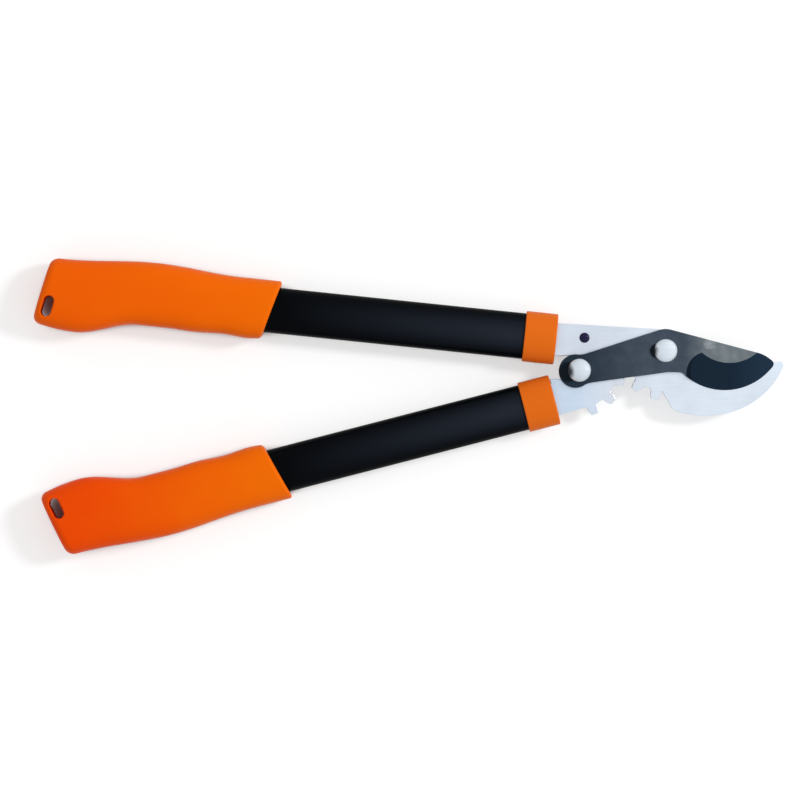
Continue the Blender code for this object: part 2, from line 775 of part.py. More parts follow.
def bolt_profile():
    """Domed head, plain shank and a chamfered end on the floor."""
    top = HEAD_BOTTOM + HEAD_HEIGHT
    radius = HEAD_DIAMETER / 2
    dome = HEAD_HEIGHT - HEAD_RIM
    profile = [(0.0, top)]
    for i in range(1, 7):
        turn = math.pi / 2 * i / 6
        profile.append((radius * math.sin(turn), top - dome * (1 - math.cos(turn))))
    shank = BOLT_DIAMETER / 2
    profile += [(radius, HEAD_BOTTOM), (shank, HEAD_BOTTOM), (shank, THREAD_END)]
    profile += [(shank - THREAD_END, 0.0), (0.0, 0.0)]
    return profile


def ring_profile(inner, outer, bottom, top):
    return [(outer, top), (outer, bottom), (inner, bottom), (inner, top)]


def nut_profile():
    """Hex part on top with its chamfer, round collar below, threaded bore and the locking ring's seat."""
    corner = NUT_FLATS / 2 / math.cos(math.pi / 6)
    flats = NUT_FLATS / 2
    seat = NUT_RING_DIAMETER / 2 + GAP
    seat_top = THREAD_END + NUT_RING_HEIGHT + 2 * GAP
    hex_bottom = NUT_TOP - NUT_HEX_HEIGHT
    collar = NUT_COLLAR_DIAMETER / 2
    drop = corner - flats
    return [
        (HOLE_RADIUS, NUT_TOP),
        (flats, NUT_TOP),
        (corner + GAP, NUT_TOP - drop),
        (corner + GAP, hex_bottom + drop),
        (collar, hex_bottom),
        (collar, THREAD_END),
        (seat, THREAD_END),
        (seat, seat_top),
        (HOLE_RADIUS, seat_top),
    ]


def hex_cutter(name, collection, parent):
    shape = bmesh.new()
    corner = NUT_FLATS / 2 / math.cos(math.pi / 6)
    bmesh.ops.create_cone(
        shape,
        cap_ends=True,
        segments=6,
        radius1=corner,
        radius2=corner,
        depth=3 * NUT_HEIGHT,
        matrix=Matrix.Translation((0, 0, THREAD_END + NUT_HEIGHT / 2)),
    )
    mesh = bpy.data.meshes.new(name)
    shape.to_mesh(mesh)
    shape.free()
    return as_cutter(add_object(name, mesh, collection, parent))


def pivot_parts(name, parent, parts, cutters, materials, bush_body=None):
    """Bolt, washer, lock nut and locking ring round one pivot, and the bush in the blade."""
    steel = materials["hardware"]
    smooth(add_turned(name + "_bolt", bolt_profile(), parts, parent, steel))
    washer = ring_profile(HOLE_RADIUS, WASHER_DIAMETER / 2, WASHER_BOTTOM, WASHER_BOTTOM + WASHER_THICKNESS)
    smooth(add_turned(name + "_washer", washer, parts, parent, steel, closed=True))
    nut = add_turned(name + "_nut", nut_profile(), parts, parent, steel, closed=True)
    cut(nut, hex_cutter(name + "_nut_flats", cutters, parent), "INTERSECT")
    ring_bottom = THREAD_END + GAP
    ring = ring_profile(HOLE_RADIUS, NUT_RING_DIAMETER / 2, ring_bottom, ring_bottom + NUT_RING_HEIGHT)
    smooth(add_turned(name + "_nut_ring", ring, parts, parent, materials["nylon"], closed=True))
    bush = ring_profile(HOLE_RADIUS, BUSH_RADIUS, BLADE_BOTTOM, BLADE_TOP)
    smooth(add_turned(name + "_bush", bush, parts, bush_body, materials["bronze"], closed=True))


def rivet_profile():
    head = RIVET_HEAD_DIAMETER / 2
    shank = RIVET_DIAMETER / 2
    top = PLATE_BOTTOM + PLATE_THICKNESS + GAP
    bottom = PLATE_BOTTOM - GAP
    profile = [(0.0, top + RIVET_HEAD_HEIGHT)]
    for i in range(1, 5):
        turn = math.pi / 2 * i / 4
        profile.append((head * math.sin(turn), top + RIVET_HEAD_HEIGHT * math.cos(turn)))
    profile += [(shank, top), (shank, bottom), (head, bottom)]
    profile += [(head, bottom - RIVET_HEAD_HEIGHT / 2), (0.0, bottom - RIVET_HEAD_HEIGHT / 2)]
    return profile


# Blade


def grind_cutter(cutters, parent):
    """What the grinder takes off: the zone outside a slanting cone that runs from the flat to the edge."""
    zone = bmesh.new()
    bottom = BLADE_BOTTOM - PAST_FACE
    top = BLADE_TOP + PAST_FACE
    slope = RUN_OUT_SLOPE / BLADE_THICKNESS
    bmesh.ops.create_cone(
        zone,
        cap_ends=True,
        segments=48,
        radius1=RUN_OUT_RADIUS - slope * (BLADE_TOP - bottom),
        radius2=RUN_OUT_RADIUS + slope * PAST_FACE,
        depth=top - bottom,
        matrix=Matrix.Translation((*RUN_OUT_CENTRE, (bottom + top) / 2)),
    )
    zone_mesh = bpy.data.meshes.new("run_out")
    zone.to_mesh(zone_mesh)
    zone.free()
    run_out = as_cutter(add_object("run_out", zone_mesh, cutters, parent))

    block = bmesh.new()
    right = BELLY_CENTRE.x + BELLY_RADIUS + PAST
    low = BELLY_CENTRE.y - BELLY_RADIUS - PAST
    high = BLADE_HUB_RADIUS + PAST
    size = (right - RUN_OUT_CENTRE.x, high - low, top - bottom - CUTTER_STEP)
    middle = Matrix.Translation((RUN_OUT_CENTRE.x + size[0] / 2, (low + high) / 2, (bottom + top) / 2))
    bmesh.ops.create_cube(block, size=1.0, matrix=middle @ Matrix.Diagonal((*size, 1.0)))
    block_mesh = bpy.data.meshes.new("grind_zone")
    block.to_mesh(block_mesh)
    block.free()
    grind = as_cutter(add_object("grind_zone", block_mesh, cutters, parent))
    cut(grind, run_out, "UNION")
    cut(grind, grind_cone(cutters, parent))
    return grind


def grind_cone(cutters, parent):
    """A cone sheared so that its circles run from the belly, at the edge, to the flat's boundary."""
    edge_height = BLADE_BOTTOM + EDGE_LAND
    rise = BLADE_TOP - edge_height
    shift = (GRIND_CENTRE - BELLY_CENTRE) / rise
    narrowing = (BELLY_RADIUS - GRIND_RADIUS) / rise
    bottom, top = edge_height - 2 * PAST_FACE, BLADE_TOP + PAST_FACE
    middle = (bottom + top) / 2
    centre = BELLY_CENTRE + shift * (middle - edge_height)
    shear = Matrix(((1, 0, shift.x, centre.x), (0, 1, shift.y, centre.y), (0, 0, 1, middle), (0, 0, 0, 1)))
    shape = bmesh.new()
    bmesh.ops.create_cone(
        shape,
        cap_ends=True,
        segments=128,
        radius1=BELLY_RADIUS + narrowing * 2 * PAST_FACE,
        radius2=GRIND_RADIUS - narrowing * PAST_FACE,
        depth=top - bottom,
        matrix=shear,
    )
    mesh = bpy.data.meshes.new("grind_cone")
    shape.to_mesh(mesh)
    shape.free()
    return as_cutter(add_object("grind_cone", mesh, cutters, parent))


def build():
    clear_scene()
    parts = new_collection("lopper")
    cutters = new_collection("cutters")
    materials = {
        "plate": new_material("pale_plate", (0.72, 0.76, 0.80), 0.28, 1.0),
        "blade": new_material("dark_blade", (0.06, 0.08, 0.11), 0.35, 0.6),
        "hardware": new_material("zinc", (0.75, 0.79, 0.83), 0.22, 1.0),
        "rivet": new_material("black_rivet", (0.01, 0.01, 0.02), 0.45, 0.0),
        "tube": new_material("black_tube", (0.006, 0.007, 0.011), 0.4, 0.0),
        "collar": new_material("orange_collar", (0.76, 0.14, 0.01), 0.4, 0.0),
        "grip": new_material("orange_grip", (0.86, 0.13, 0.003), 0.5, 0.0),
        "insert": new_material("black_nylon", (0.02, 0.02, 0.02), 0.5, 0.0),
        "nylon": new_material("white_nylon", (0.75, 0.75, 0.72), 0.5, 0.0),
        "bronze": new_material("bronze", (0.45, 0.27, 0.10), 0.35, 1.0),
    }

    upper_body = new_empty("upper_handle_body", parts)
    blade_body = new_empty("blade_pivot", parts, parent=upper_body)
    lower_body = new_empty("rear_pivot", parts, (*REAR_PIVOT, 0.0), blade_body)

    hole = circle(MAIN_PIVOT, HOLE_RADIUS)[::-1]
    rivet_hole = circle(RIVET_PLACE, RIVET_DIAMETER / 2 + GAP, SMALL_STEPS)[::-1]
    hook = flat_plate(
        "hook_plate", [hook_outline(), hole, rivet_hole], PLATE_THICKNESS, PLATE_CHAMFER, PLATE_MIDDLE
    )
    hook_plate = add_object("hook_plate", hook, parts, upper_body, materials["plate"])
    gear = flat_plate("gear_plate", [gear_outline(), hole], PLATE_THICKNESS, PLATE_CHAMFER, PLATE_MIDDLE)
    gear_plate = add_object("gear_plate", gear, parts, lower_body, materials["plate"])

    meshes = handle_meshes()
    upper_pin_hole = handle_parts(UPPER, upper_body, MAIN_PIVOT, parts, cutters, materials, meshes)
    lower_pin_hole = handle_parts(LOWER, lower_body, REAR_PIVOT, parts, cutters, materials, meshes)
    cut(hook_plate, upper_pin_hole)
    cut(gear_plate, lower_pin_hole)

    bush_hole = BUSH_RADIUS + GAP
    blade_holes = [circle(MAIN_PIVOT, bush_hole)[::-1], circle(REAR_PIVOT, bush_hole)[::-1]]
    blade_mesh = flat_plate(
        "blade", [blade_outline()] + blade_holes, BLADE_THICKNESS, 0.0, BLADE_BOTTOM + BLADE_THICKNESS / 2
    )
    blade = add_object("blade", blade_mesh, parts, blade_body, materials["blade"])
    cut(blade, grind_cutter(cutters, blade_body))

    rear_axis = new_empty("rear_bolt_axis", parts, (*REAR_PIVOT, 0.0), blade_body)
    pivot_parts("pivot", upper_body, parts, cutters, materials, bush_body=blade_body)
    pivot_parts("rear", rear_axis, parts, cutters, materials, bush_body=rear_axis)
    rivet_axis = new_empty("rivet_axis", parts, (*RIVET_PLACE, 0.0), upper_body)
    smooth(add_turned("plate_rivet", rivet_profile(), parts, rivet_axis, materials["rivet"]))


build()
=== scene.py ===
# %% [markdown]
# # A geared bypass lopper
# The tool lies shut on a pale floor and is seen from straight above. Three rigid bodies carry its pieces:
# the upper handle with the hook, the blade with its lever tail, and the lower handle with its gear.
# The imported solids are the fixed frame. Every visible piece is made again here as a fine surface in the
# same place, because a solid with few faces shows them as soon as light falls on it.

# %% The fixed frame
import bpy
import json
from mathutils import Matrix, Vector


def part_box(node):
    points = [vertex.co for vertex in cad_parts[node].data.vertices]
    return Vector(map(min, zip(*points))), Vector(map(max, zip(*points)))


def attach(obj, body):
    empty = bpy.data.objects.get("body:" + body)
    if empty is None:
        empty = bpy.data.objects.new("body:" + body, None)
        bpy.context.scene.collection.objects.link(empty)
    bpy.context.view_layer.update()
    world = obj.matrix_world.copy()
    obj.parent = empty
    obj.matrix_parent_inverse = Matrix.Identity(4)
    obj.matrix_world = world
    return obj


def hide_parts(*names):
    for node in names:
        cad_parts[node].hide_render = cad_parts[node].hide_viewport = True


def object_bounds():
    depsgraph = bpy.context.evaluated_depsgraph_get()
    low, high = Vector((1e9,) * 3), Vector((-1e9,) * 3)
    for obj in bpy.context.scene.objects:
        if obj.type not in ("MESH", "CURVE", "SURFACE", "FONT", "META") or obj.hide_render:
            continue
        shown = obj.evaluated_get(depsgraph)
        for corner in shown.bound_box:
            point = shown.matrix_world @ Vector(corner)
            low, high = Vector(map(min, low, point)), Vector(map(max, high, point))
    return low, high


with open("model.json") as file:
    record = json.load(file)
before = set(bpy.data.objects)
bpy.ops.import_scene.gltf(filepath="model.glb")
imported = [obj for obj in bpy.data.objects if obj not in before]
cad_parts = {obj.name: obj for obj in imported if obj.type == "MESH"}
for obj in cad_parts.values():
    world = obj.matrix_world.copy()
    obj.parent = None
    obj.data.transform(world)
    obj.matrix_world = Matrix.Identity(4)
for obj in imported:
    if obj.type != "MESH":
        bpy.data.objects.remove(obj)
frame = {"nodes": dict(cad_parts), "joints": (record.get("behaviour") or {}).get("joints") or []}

# %% Tools
import json
import math

import bmesh
import bpy
import numpy as np
from mathutils import Vector

CAD_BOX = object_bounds()
MM = 0.001
print("the solids fill", [round(v / MM, 1) for v in CAD_BOX[1] - CAD_BOX[0]], "mm")

# %% [markdown]
# ## Where things are
# The two pivots come from the joints, and the heights from the boxes of the solids. They could be typed
# in again, but read from the frame they can't drift away from it. A flat point is a pair of numbers, and
# an outline is an array of such pairs, because numpy then works out the whole of it in one step.

# %% Pivots and heights
MAIN_PIVOT = np.array(frame["joints"][0]["pos_m"][:2])
REAR_PIVOT = np.array(frame["joints"][1]["pos_m"][:2])


def heights(node):
    """The lowest and the highest level of a solid's box."""
    return [corner.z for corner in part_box(node)]


def polar(radius, angle, centre=(0.0, 0.0)):
    """Points about a centre: the centre plus the radius times (cosine, sine) of the angle."""
    radius, angle = np.broadcast_arrays(np.asarray(radius, float), np.asarray(angle, float))
    return np.stack([radius * np.cos(angle), radius * np.sin(angle)], axis=-1) + np.asarray(centre)


PLATE_LOW, PLATE_HIGH = heights("hook_plate")
BLADE_LOW, BLADE_HIGH = heights("blade")
MIDDLE = (PLATE_LOW + PLATE_HIGH) / 2
GAP = 0.3 * MM
print("rear pivot at", (REAR_PIVOT / MM).round(2), "blade from", round(BLADE_LOW / MM, 2), "mm up")

# %% [markdown]
# ### A frame for each handle
# The two handles are one set of mouldings used twice, mirrored. Each gets a frame of its own: the middle of
# its collar's front, a direction towards the butt, and a direction away from the other handle. A piece could
# be made once and copied with a mirror, but a mirror turns a mesh inside out. With a frame, one function
# makes the piece for both handles, and its faces point outwards on each.

# %% The frames of the handles
AXIS = {"upper": math.radians(174.1), "lower": math.radians(194.5)}
UPPER_REACH, LOWER_REACH, LOWER_OFFSET = 67.1 * MM, 19.0 * MM, 13.5 * MM
FRONT = {
    "upper": polar(UPPER_REACH, AXIS["upper"]),
    "lower": polar(LOWER_REACH, AXIS["lower"], REAR_PIVOT)
    + polar(LOWER_OFFSET, AXIS["lower"] + math.pi / 2),
}
OUTWARD = {"upper": -1.0, "lower": 1.0}


def handle_point(side, along, across):
    """A flat point of a handle: its front, plus along times its axis, plus across times its outward side."""
    direction = polar(1.0, AXIS[side])
    outward = np.array([-direction[1], direction[0]]) * OUTWARD[side]
    along, across = np.broadcast_arrays(np.asarray(along, float), np.asarray(across, float))
    return FRONT[side] + along[..., None] * direction + across[..., None] * outward


def in_handle(side, along, across, up):
    """Solid points of a handle: the flat point, and a height above the middle of the plates."""
    along, across, up = np.broadcast_arrays(along, across, up)
    flat = handle_point(side, along, across)
    return np.concatenate([flat, (up + MIDDLE)[..., None]], axis=-1)


print("the collars' fronts are at", {side: (FRONT[side] / MM).round(1).tolist() for side in AXIS}, "mm")

# %% [markdown]
# ## Surfaces from grids
# A piece is a grid of points: its columns run round the piece and its rows run along it. Four neighbours
# make a face. A row that has shrunk to one point is a pole, and welding its points closes it. Modelling by
# hand would also do, but a grid follows its formula exactly, and one number changes it. Edges that turn by
# more than a given angle stay sharp, and the rest is shaded smooth.

# %% From a grid of points to a mesh
SHARP = math.radians(35)
WELD, SPECK = 0.001 * MM, 0.0005 * MM


def add_object(name, data):
    """A new object with this data, linked to the scene."""
    made = bpy.data.objects.new(name, data)
    bpy.context.scene.collection.objects.link(made)
    return made


def finish_mesh(mesh, sharp=SHARP):
    """Welds doubles, points the faces outwards and shades them smooth up to the sharp angle."""
    shape = bmesh.new()
    shape.from_mesh(mesh)
    bmesh.ops.remove_doubles(shape, verts=shape.verts, dist=WELD)
    bmesh.ops.dissolve_degenerate(shape, edges=shape.edges, dist=SPECK)
    bmesh.ops.recalc_face_normals(shape, faces=shape.faces)
    shape.to_mesh(mesh)
    shape.free()
    mesh.shade_smooth()
    mesh.set_sharp_from_angle(angle=sharp)


def surface(name, points, closed_along=False, sharp=SHARP):
    """Quads between neighbours, round every row, and from the last row to the first if asked."""
    rows, columns = points.shape[:2]
    bands = np.arange(rows if closed_along else rows - 1)
    row, column = np.meshgrid(bands, np.arange(columns), indexing="ij")
    after, beside = (row + 1) % rows, (column + 1) % columns
    corners = ((row, column), (row, beside), (after, beside), (after, column))
    quads = np.stack([r * columns + c for r, c in corners], axis=-1).reshape(-1, 4)
    mesh = bpy.data.meshes.new(name)
    mesh.from_pydata(points.reshape(-1, 3).tolist(), [], quads.tolist())
    finish_mesh(mesh, sharp)
    return add_object(name, mesh)


print("edges that turn by more than", round(math.degrees(SHARP)), "degrees stay sharp")

# %% [markdown]
# ### Cutting, and the shading of flats
# A slot is punched and a bevel is ground: something takes steel or plastic away. A cutter and a Boolean
# modifier do the same here. The result goes into the mesh at once, so that the cutter can go. On a plate,
# smooth shading would spread a narrow rounding's tilt over the flat beside it. Weighted normals let the
# large faces decide, which is lighter than cutting more edges into the rim.

# %% Cutting and even flats
FLAT_WEIGHT = 90


def applied(piece):
    """The piece with its modifiers worked into its mesh."""
    bpy.context.view_layer.update()
    evaluated = piece.evaluated_get(bpy.context.evaluated_depsgraph_get())
    mesh = bpy.data.meshes.new_from_object(evaluated)
    mesh.name = piece.data.name
    piece.modifiers.clear()
    piece.data = mesh
    return piece


def combined(piece, operation, *others):
    """The piece with the others cut out of it or joined to it; the others are then removed."""
    for other in others:
        boolean = piece.modifiers.new("boolean", "BOOLEAN")
        boolean.operation = operation
        boolean.solver = "EXACT"
        boolean.object = other
    applied(piece)
    for other in others:
        bpy.data.objects.remove(other)
    return piece


def even_flats(piece):
    """Lets the large flat faces set the shading of their rims."""
    weighted = piece.modifiers.new("even flats", "WEIGHTED_NORMAL")
    weighted.keep_sharp = True
    weighted.weight = FLAT_WEIGHT
    return piece


print("flats weigh", FLAT_WEIGHT, "of 100 where they meet their rims")

# %% [markdown]
# ### What every piece is told
# A finished piece holds its finishes, rides on a body, and stands for a solid, which is hidden. Each piece
# could make these calls itself, but one function makes them all, so that none is forgotten and no piece stays
# behind when a joint moves.

# %% Finishing a piece
def finish_piece(piece, body, node, slot, *finishes):
    """Several finishes go in order, and the faces say by number which one is theirs."""
    piece.data.materials.clear()
    for finish in finishes:
        piece.data.materials.append(finish)
    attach(piece, body)
    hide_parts(node)
    print(piece.name, "has", len(piece.data.polygons), "faces and stands for", node)


print(len(frame["nodes"]), "solids are to be replaced, or finished where they are hidden")

# %% [markdown]
# ## Finishes
# Each finish is a small tree of nodes on Object coordinates, which are metres here, so a noise scale of
# 1000 has grains of about a millimetre. Pictures of real plastic and steel would do as well, but they need
# files and an unwrapped mesh. Nodes need neither, and stay sharp close up. Values that are the same all
# over are set on the shader itself.

# %% Shaders and nodes
def new_finish(name, colour, roughness, metallic=0.0, specular=0.5, tint=(1.0, 1.0, 1.0)):
    """A material and its shader, with the values that are the same all over."""
    material = bpy.data.materials.new(name)
    material.use_nodes = True
    shader = material.node_tree.nodes["Principled BSDF"]
    shader.inputs["Base Color"].default_value = (*colour, 1.0)
    shader.inputs["Roughness"].default_value = roughness
    shader.inputs["Metallic"].default_value = metallic
    shader.inputs["Specular IOR Level"].default_value = specular
    shader.inputs["Specular Tint"].default_value = (*tint, 1.0)
    return material, shader


def add_node(owner, kind, inputs=None, **settings):
    """A node of a material or the world, with its inputs given as numbers or as other nodes' outputs."""
    made = owner.node_tree.nodes.new("ShaderNode" + kind)
    for name, value in settings.items():
        setattr(made, name, value)
    for name, value in (inputs or {}).items():
        if isinstance(value, bpy.types.NodeSocket):
            owner.node_tree.links.new(value, made.inputs[name])
        else:
            made.inputs[name].default_value = value
    return made


def link(owner, output, socket):
    owner.node_tree.links.new(output, socket)


def calculate(owner, operation, first, second=0.0):
    """One sum on two values, such as MULTIPLY or ADD."""
    return add_node(owner, "Math", {0: first, 1: second}, operation=operation).outputs[0]


GRAIN_SCALE = 2400.0
print("a noise of scale", GRAIN_SCALE, "has grains of about", round(1 / GRAIN_SCALE / MM, 2), "mm")

# %% [markdown]
# ### Patterns
# A pattern is a chain: coordinates, a noise on them, a ramp that picks a range of the noise, and a colour
# or a bump at the end. A bump moves the light and not the surface, which suits grain, grinding lines and
# orange peel. True geometry would need millions of faces for marks of a few hundredths of a millimetre.

# %% Coordinates, noises, ramps and blends
def placed(material, scale=(1.0, 1.0, 1.0), turn=0.0, move=(0.0, 0.0, 0.0)):
    """Object coordinates in metres, moved, turned about the vertical and stretched."""
    coordinates = add_node(material, "TexCoord").outputs["Object"]
    mapping = add_node(
        material,
        "Mapping",
        {"Vector": coordinates, "Location": move, "Rotation": (0.0, 0.0, turn), "Scale": scale},
    )
    return mapping.outputs["Vector"]


def axes(material, vector=None):
    """A vector's X, Y and Z, or those of the Object coordinates if none is given."""
    if vector is None:
        vector = placed(material)
    return add_node(material, "SeparateXYZ", {"Vector": vector}).outputs


def from_middle(material, height):
    """How far a height lies above or below the middle of the plates."""
    return calculate(material, "ABSOLUTE", calculate(material, "SUBTRACT", height, MIDDLE))


def noise(material, vector, scale=1.0, detail=2.0, roughness=0.5):
    """A smooth noise about a half, whose grains are one over the scale across."""
    made = add_node(
        material, "TexNoise", {"Vector": vector, "Scale": scale, "Detail": detail, "Roughness": roughness}
    )
    return made.outputs["Fac"]


def lines_along(material, stretch, turn=0.0, detail=3.0):
    """A noise drawn out into lines along the turned axis whose stretch is the smallest."""
    return noise(material, placed(material, stretch, turn), detail=detail, roughness=0.6)


def ramp(material, value, low, high, low_out=0.0, high_out=1.0):
    """Maps a value from one range to another, held at both ends."""
    made = add_node(
        material,
        "MapRange",
        {"Value": value, "From Min": low, "From Max": high, "To Min": low_out, "To Max": high_out},
    )
    return made.outputs["Result"]


MIX_FIRST, MIX_SECOND, MIX_RESULT = 6, 7, 2
MOST = (0.3, 0.7)


def blend_colour(material, share, first, second):
    """Two colours mixed, with the share of the second; the Mix node's colour sockets go by number."""
    first, second = (
        each if isinstance(each, bpy.types.NodeSocket) else (*each, 1.0) for each in (first, second)
    )
    inputs = {0: share, MIX_FIRST: first, MIX_SECOND: second}
    return add_node(material, "Mix", inputs, data_type="RGBA").outputs[MIX_RESULT]


def scaled(material, colour, amount):
    """The colour times a number."""
    return add_node(material, "VectorMath", {0: colour, "Scale": amount}, operation="SCALE").outputs["Vector"]


def distance_from(material, point):
    """Distance across the plates from an upright axis through a point."""
    parts = axes(material)
    flat = add_node(material, "CombineXYZ", {"X": parts["X"], "Y": parts["Y"]}).outputs["Vector"]
    spot = (point[0], point[1], 0.0)
    return add_node(material, "VectorMath", {0: flat, 1: spot}, operation="DISTANCE").outputs["Value"]


def bump(material, height, distance, strength=1.0, before=None):
    """Tilts the light as if the pattern stood out by the distance, on top of the bump before it."""
    inputs = {"Height": height, "Distance": distance, "Strength": strength}
    if before is not None:
        inputs["Normal"] = before
    return add_node(material, "Bump", inputs).outputs["Normal"]


print("most values of a noise lie between", *MOST)

# %% [markdown]
# ### Moulded orange
# Grips and collars are moulded in orange plastic. The tone goes from redder and darker at the butt to
# yellower at the front, partly the plastic's own tone and partly painted shade away from the light, and it
# wanders a little; the skin has a fine spark-eroded grain, and the two halves of the mould leave a faint line
# round the middle height.
# The line could be a ridge in the mesh. As a bump it follows any of the mouldings at its own height.

# %% Orange plastic
WARM_TINT = (1.0, 0.55, 0.12)
TONE_WANDER = 90.0 * MM
SEAM_CORE, SEAM_EDGE, SEAM_HEIGHT = 0.1 * MM, 0.3 * MM, 0.12 * MM


def moulded_orange(name, redder, yellower, reach, grain, roughness):
    """Reach is the stretch along X over which the tone goes from the redder one to the yellower one."""
    material, shader = new_finish(name, redder, roughness, specular=0.2, tint=WARM_TINT)
    place = placed(material)
    parts = axes(material, place)
    wander = calculate(material, "MULTIPLY", noise(material, place, scale=22.0, detail=3.0), TONE_WANDER)
    # partly painted shade: the tone is redder and darker towards the butt, away from the light
    tone = ramp(material, calculate(material, "ADD", parts["X"], wander), *reach)
    link(material, blend_colour(material, tone, redder, yellower), shader.inputs["Base Color"])
    skin = bump(material, noise(material, place, GRAIN_SCALE), grain, strength=0.5)
    soft = bump(material, noise(material, place, scale=160.0), 0.1 * MM, strength=0.25, before=skin)
    seam = ramp(material, from_middle(material, parts["Z"]), SEAM_CORE, SEAM_EDGE, 1.0, 0.0)
    link(material, bump(material, seam, SEAM_HEIGHT, strength=0.8, before=soft), shader.inputs["Normal"])
    patches = noise(material, place, scale=90.0, detail=3.0)
    gloss = ramp(material, patches, *MOST, roughness - 0.05, roughness + 0.06)
    link(material, gloss, shader.inputs["Roughness"])
    return material


GRIP_REACH = (-310.0 * MM, -200.0 * MM)
COLLAR_REACH = (-80.0 * MM, 0.0)
GRIP_TONES = {
    "upper": ((0.88, 0.112, 0.001), (0.88, 0.142, 0.001)),
    "lower": ((0.86, 0.066, 0.001), (0.88, 0.145, 0.001)),
}
ORANGE_GRIP = {
    side: moulded_orange(side + "_grip_finish", *tones, GRIP_REACH, 0.05 * MM, 0.48)
    for side, tones in GRIP_TONES.items()
}
ORANGE_COLLAR = moulded_orange(
    "orange_collar_finish", (0.72, 0.130, 0.009), (0.75, 0.145, 0.010), COLLAR_REACH, 0.02 * MM, 0.42
)
print("made", [finish.name for finish in (*ORANGE_GRIP.values(), ORANGE_COLLAR)])

# %% [markdown]
# ### Black powder coat
# The tubes are aluminium with a black powder coat. Baked powder flows into shallow dimples, which makers call
# orange peel, and its gloss is soft. Along the crown the colour is painted a paler grey, most of all near the
# collar: a painted sheen from the light at the right. As a share of height times a share of length it fits
# both tubes. Nylon and the rivet's paint are the same finish, with no painted sheen.

# %% Powder coat, nylon and the black rivet
TUBE_REACH, CROWN_REACH, CROWN_POWER = (-230.0 * MM, -95.0 * MM), (3.5 * MM, 9.5 * MM), 2.2


def powder_black(name, colour, roughness, peel, specular, crown_sheen=None):
    """Orange peel and an uneven gloss. With a crown sheen, the colour is painted paler by length's share
    times height's share: a painted sheen.
    """
    material, shader = new_finish(name, colour, roughness, specular=specular)
    place = placed(material)
    # painted sheen: the crown is painted paler, most of all near the collar
    if crown_sheen:
        parts = axes(material, place)
        crown = ramp(material, from_middle(material, parts["Z"]), *CROWN_REACH)
        along = ramp(material, parts["X"], *TUBE_REACH)
        share = calculate(material, "MULTIPLY", along, calculate(material, "POWER", crown, CROWN_POWER))
        link(material, blend_colour(material, share, colour, crown_sheen), shader.inputs["Base Color"])
    dimples = bump(material, noise(material, place, scale=620.0), peel, strength=0.35)
    link(material, dimples, shader.inputs["Normal"])
    patches = noise(material, place, scale=60.0, detail=3.0)
    gloss = ramp(material, patches, *MOST, roughness - 0.04, roughness + 0.05)
    link(material, gloss, shader.inputs["Roughness"])
    return material


# the tube's second colour is a painted sheen along its crown
BLACK_TUBE = powder_black(
    "black_tube_finish", (0.0005, 0.0010, 0.0018), 0.34, 0.06 * MM, 0.03, crown_sheen=(0.0145, 0.0190, 0.0285)
)
BLACK_NYLON = powder_black("black_nylon_finish", (0.012, 0.012, 0.012), 0.5, 0.02 * MM, 0.3)
WHITE_NYLON = powder_black("white_nylon_finish", (0.72, 0.72, 0.68), 0.45, 0.02 * MM, 0.3)
BLACK_RIVET = powder_black("black_rivet_finish", (0.009, 0.007, 0.042), 0.3, 0.01 * MM, 0.15)
print("made", [finish.name for finish in (BLACK_TUBE, BLACK_NYLON, WHITE_NYLON, BLACK_RIVET)])

# %% [markdown]
# ### Painted shade at the bolt heads
# The side of each bolt head away from the jaw, which is the side away from the light, is painted darker, and
# this painted shade reaches over the heads' rims. Such a mark is a round spot whose edge a noise pushes in
# and out. A noise alone would put it anywhere, and a spot puts it in one given place.

# %% A spot with a ragged edge
# painted shade: a dark tone for the left side of each bolt head, away from the light
PAINTED_SHADE_TONE, PAINTED_SHADE_EDGE = (0.06, 0.07, 0.08), 1.2 * MM
HEAD_PAINTED_SHADE = ((MAIN_PIVOT - [9.6 * MM, 0.5 * MM], 4.3 * MM), (REAR_PIVOT - [9.9 * MM, 0.8 * MM], 5.9 * MM))


def ragged_spot(material, spot, radius, ragged):
    """1 inside a round spot and 0 outside it, with an edge that a noise pushes in and out."""
    edge = noise(material, placed(material), scale=260.0, detail=3.0)
    push = calculate(material, "MULTIPLY", edge, 2 * ragged)
    distance = calculate(material, "ADD", distance_from(material, spot), push)
    return ramp(material, distance, radius, radius + 2 * ragged, 1.0, 0.0)


print("dirt lies within", [round(radius / MM, 1) for _, radius in HEAD_PAINTED_SHADE], "mm of two points")

# %% [markdown]
# ### Brushed steel
# The hook and the gear plate are pale steel, brushed along their length: long thin scratches, in patches
# where the belt pressed harder. A noise that is stretched far along one axis looks like them. A zinc coat,
# dulled by handling, covers the bolts, washers and nuts, and the bushes are bronze. All four are one
# finish with other colours, because what a brush or a lathe leaves differs little at this scale.

# %% Pale steel, zinc and bronze
def brushed_steel(name, colour, roughness, turn, paler=None, reach=(0.0, 1.0), painted_shade=()):
    """Brushing lines along a turned axis, in cloudy patches, over a tone that grows paler along X."""
    material, shader = new_finish(name, colour, roughness, metallic=1.0)
    place = placed(material)
    tone = colour
    if paler:
        along = ramp(material, axes(material, place)["X"], *reach)
        tone = blend_colour(material, along, colour, paler)
    patches = noise(material, place, scale=55.0, detail=3.0)
    tone = scaled(material, tone, ramp(material, patches, *MOST, 1.0, 0.90))
    # painted shade on the zinc at the left of each bolt head
    for spot, radius in painted_shade:
        tone = blend_colour(material, ragged_spot(material, spot, radius, PAINTED_SHADE_EDGE), tone, PAINTED_SHADE_TONE)
    link(material, tone, shader.inputs["Base Color"])
    lines = lines_along(material, (40.0, 2600.0, 400.0), turn, detail=4.0)
    link(material, bump(material, lines, 0.02 * MM, strength=0.3), shader.inputs["Normal"])
    gloss = ramp(material, lines, *MOST, roughness - 0.06, roughness + 0.08)
    link(material, gloss, shader.inputs["Roughness"])
    return material


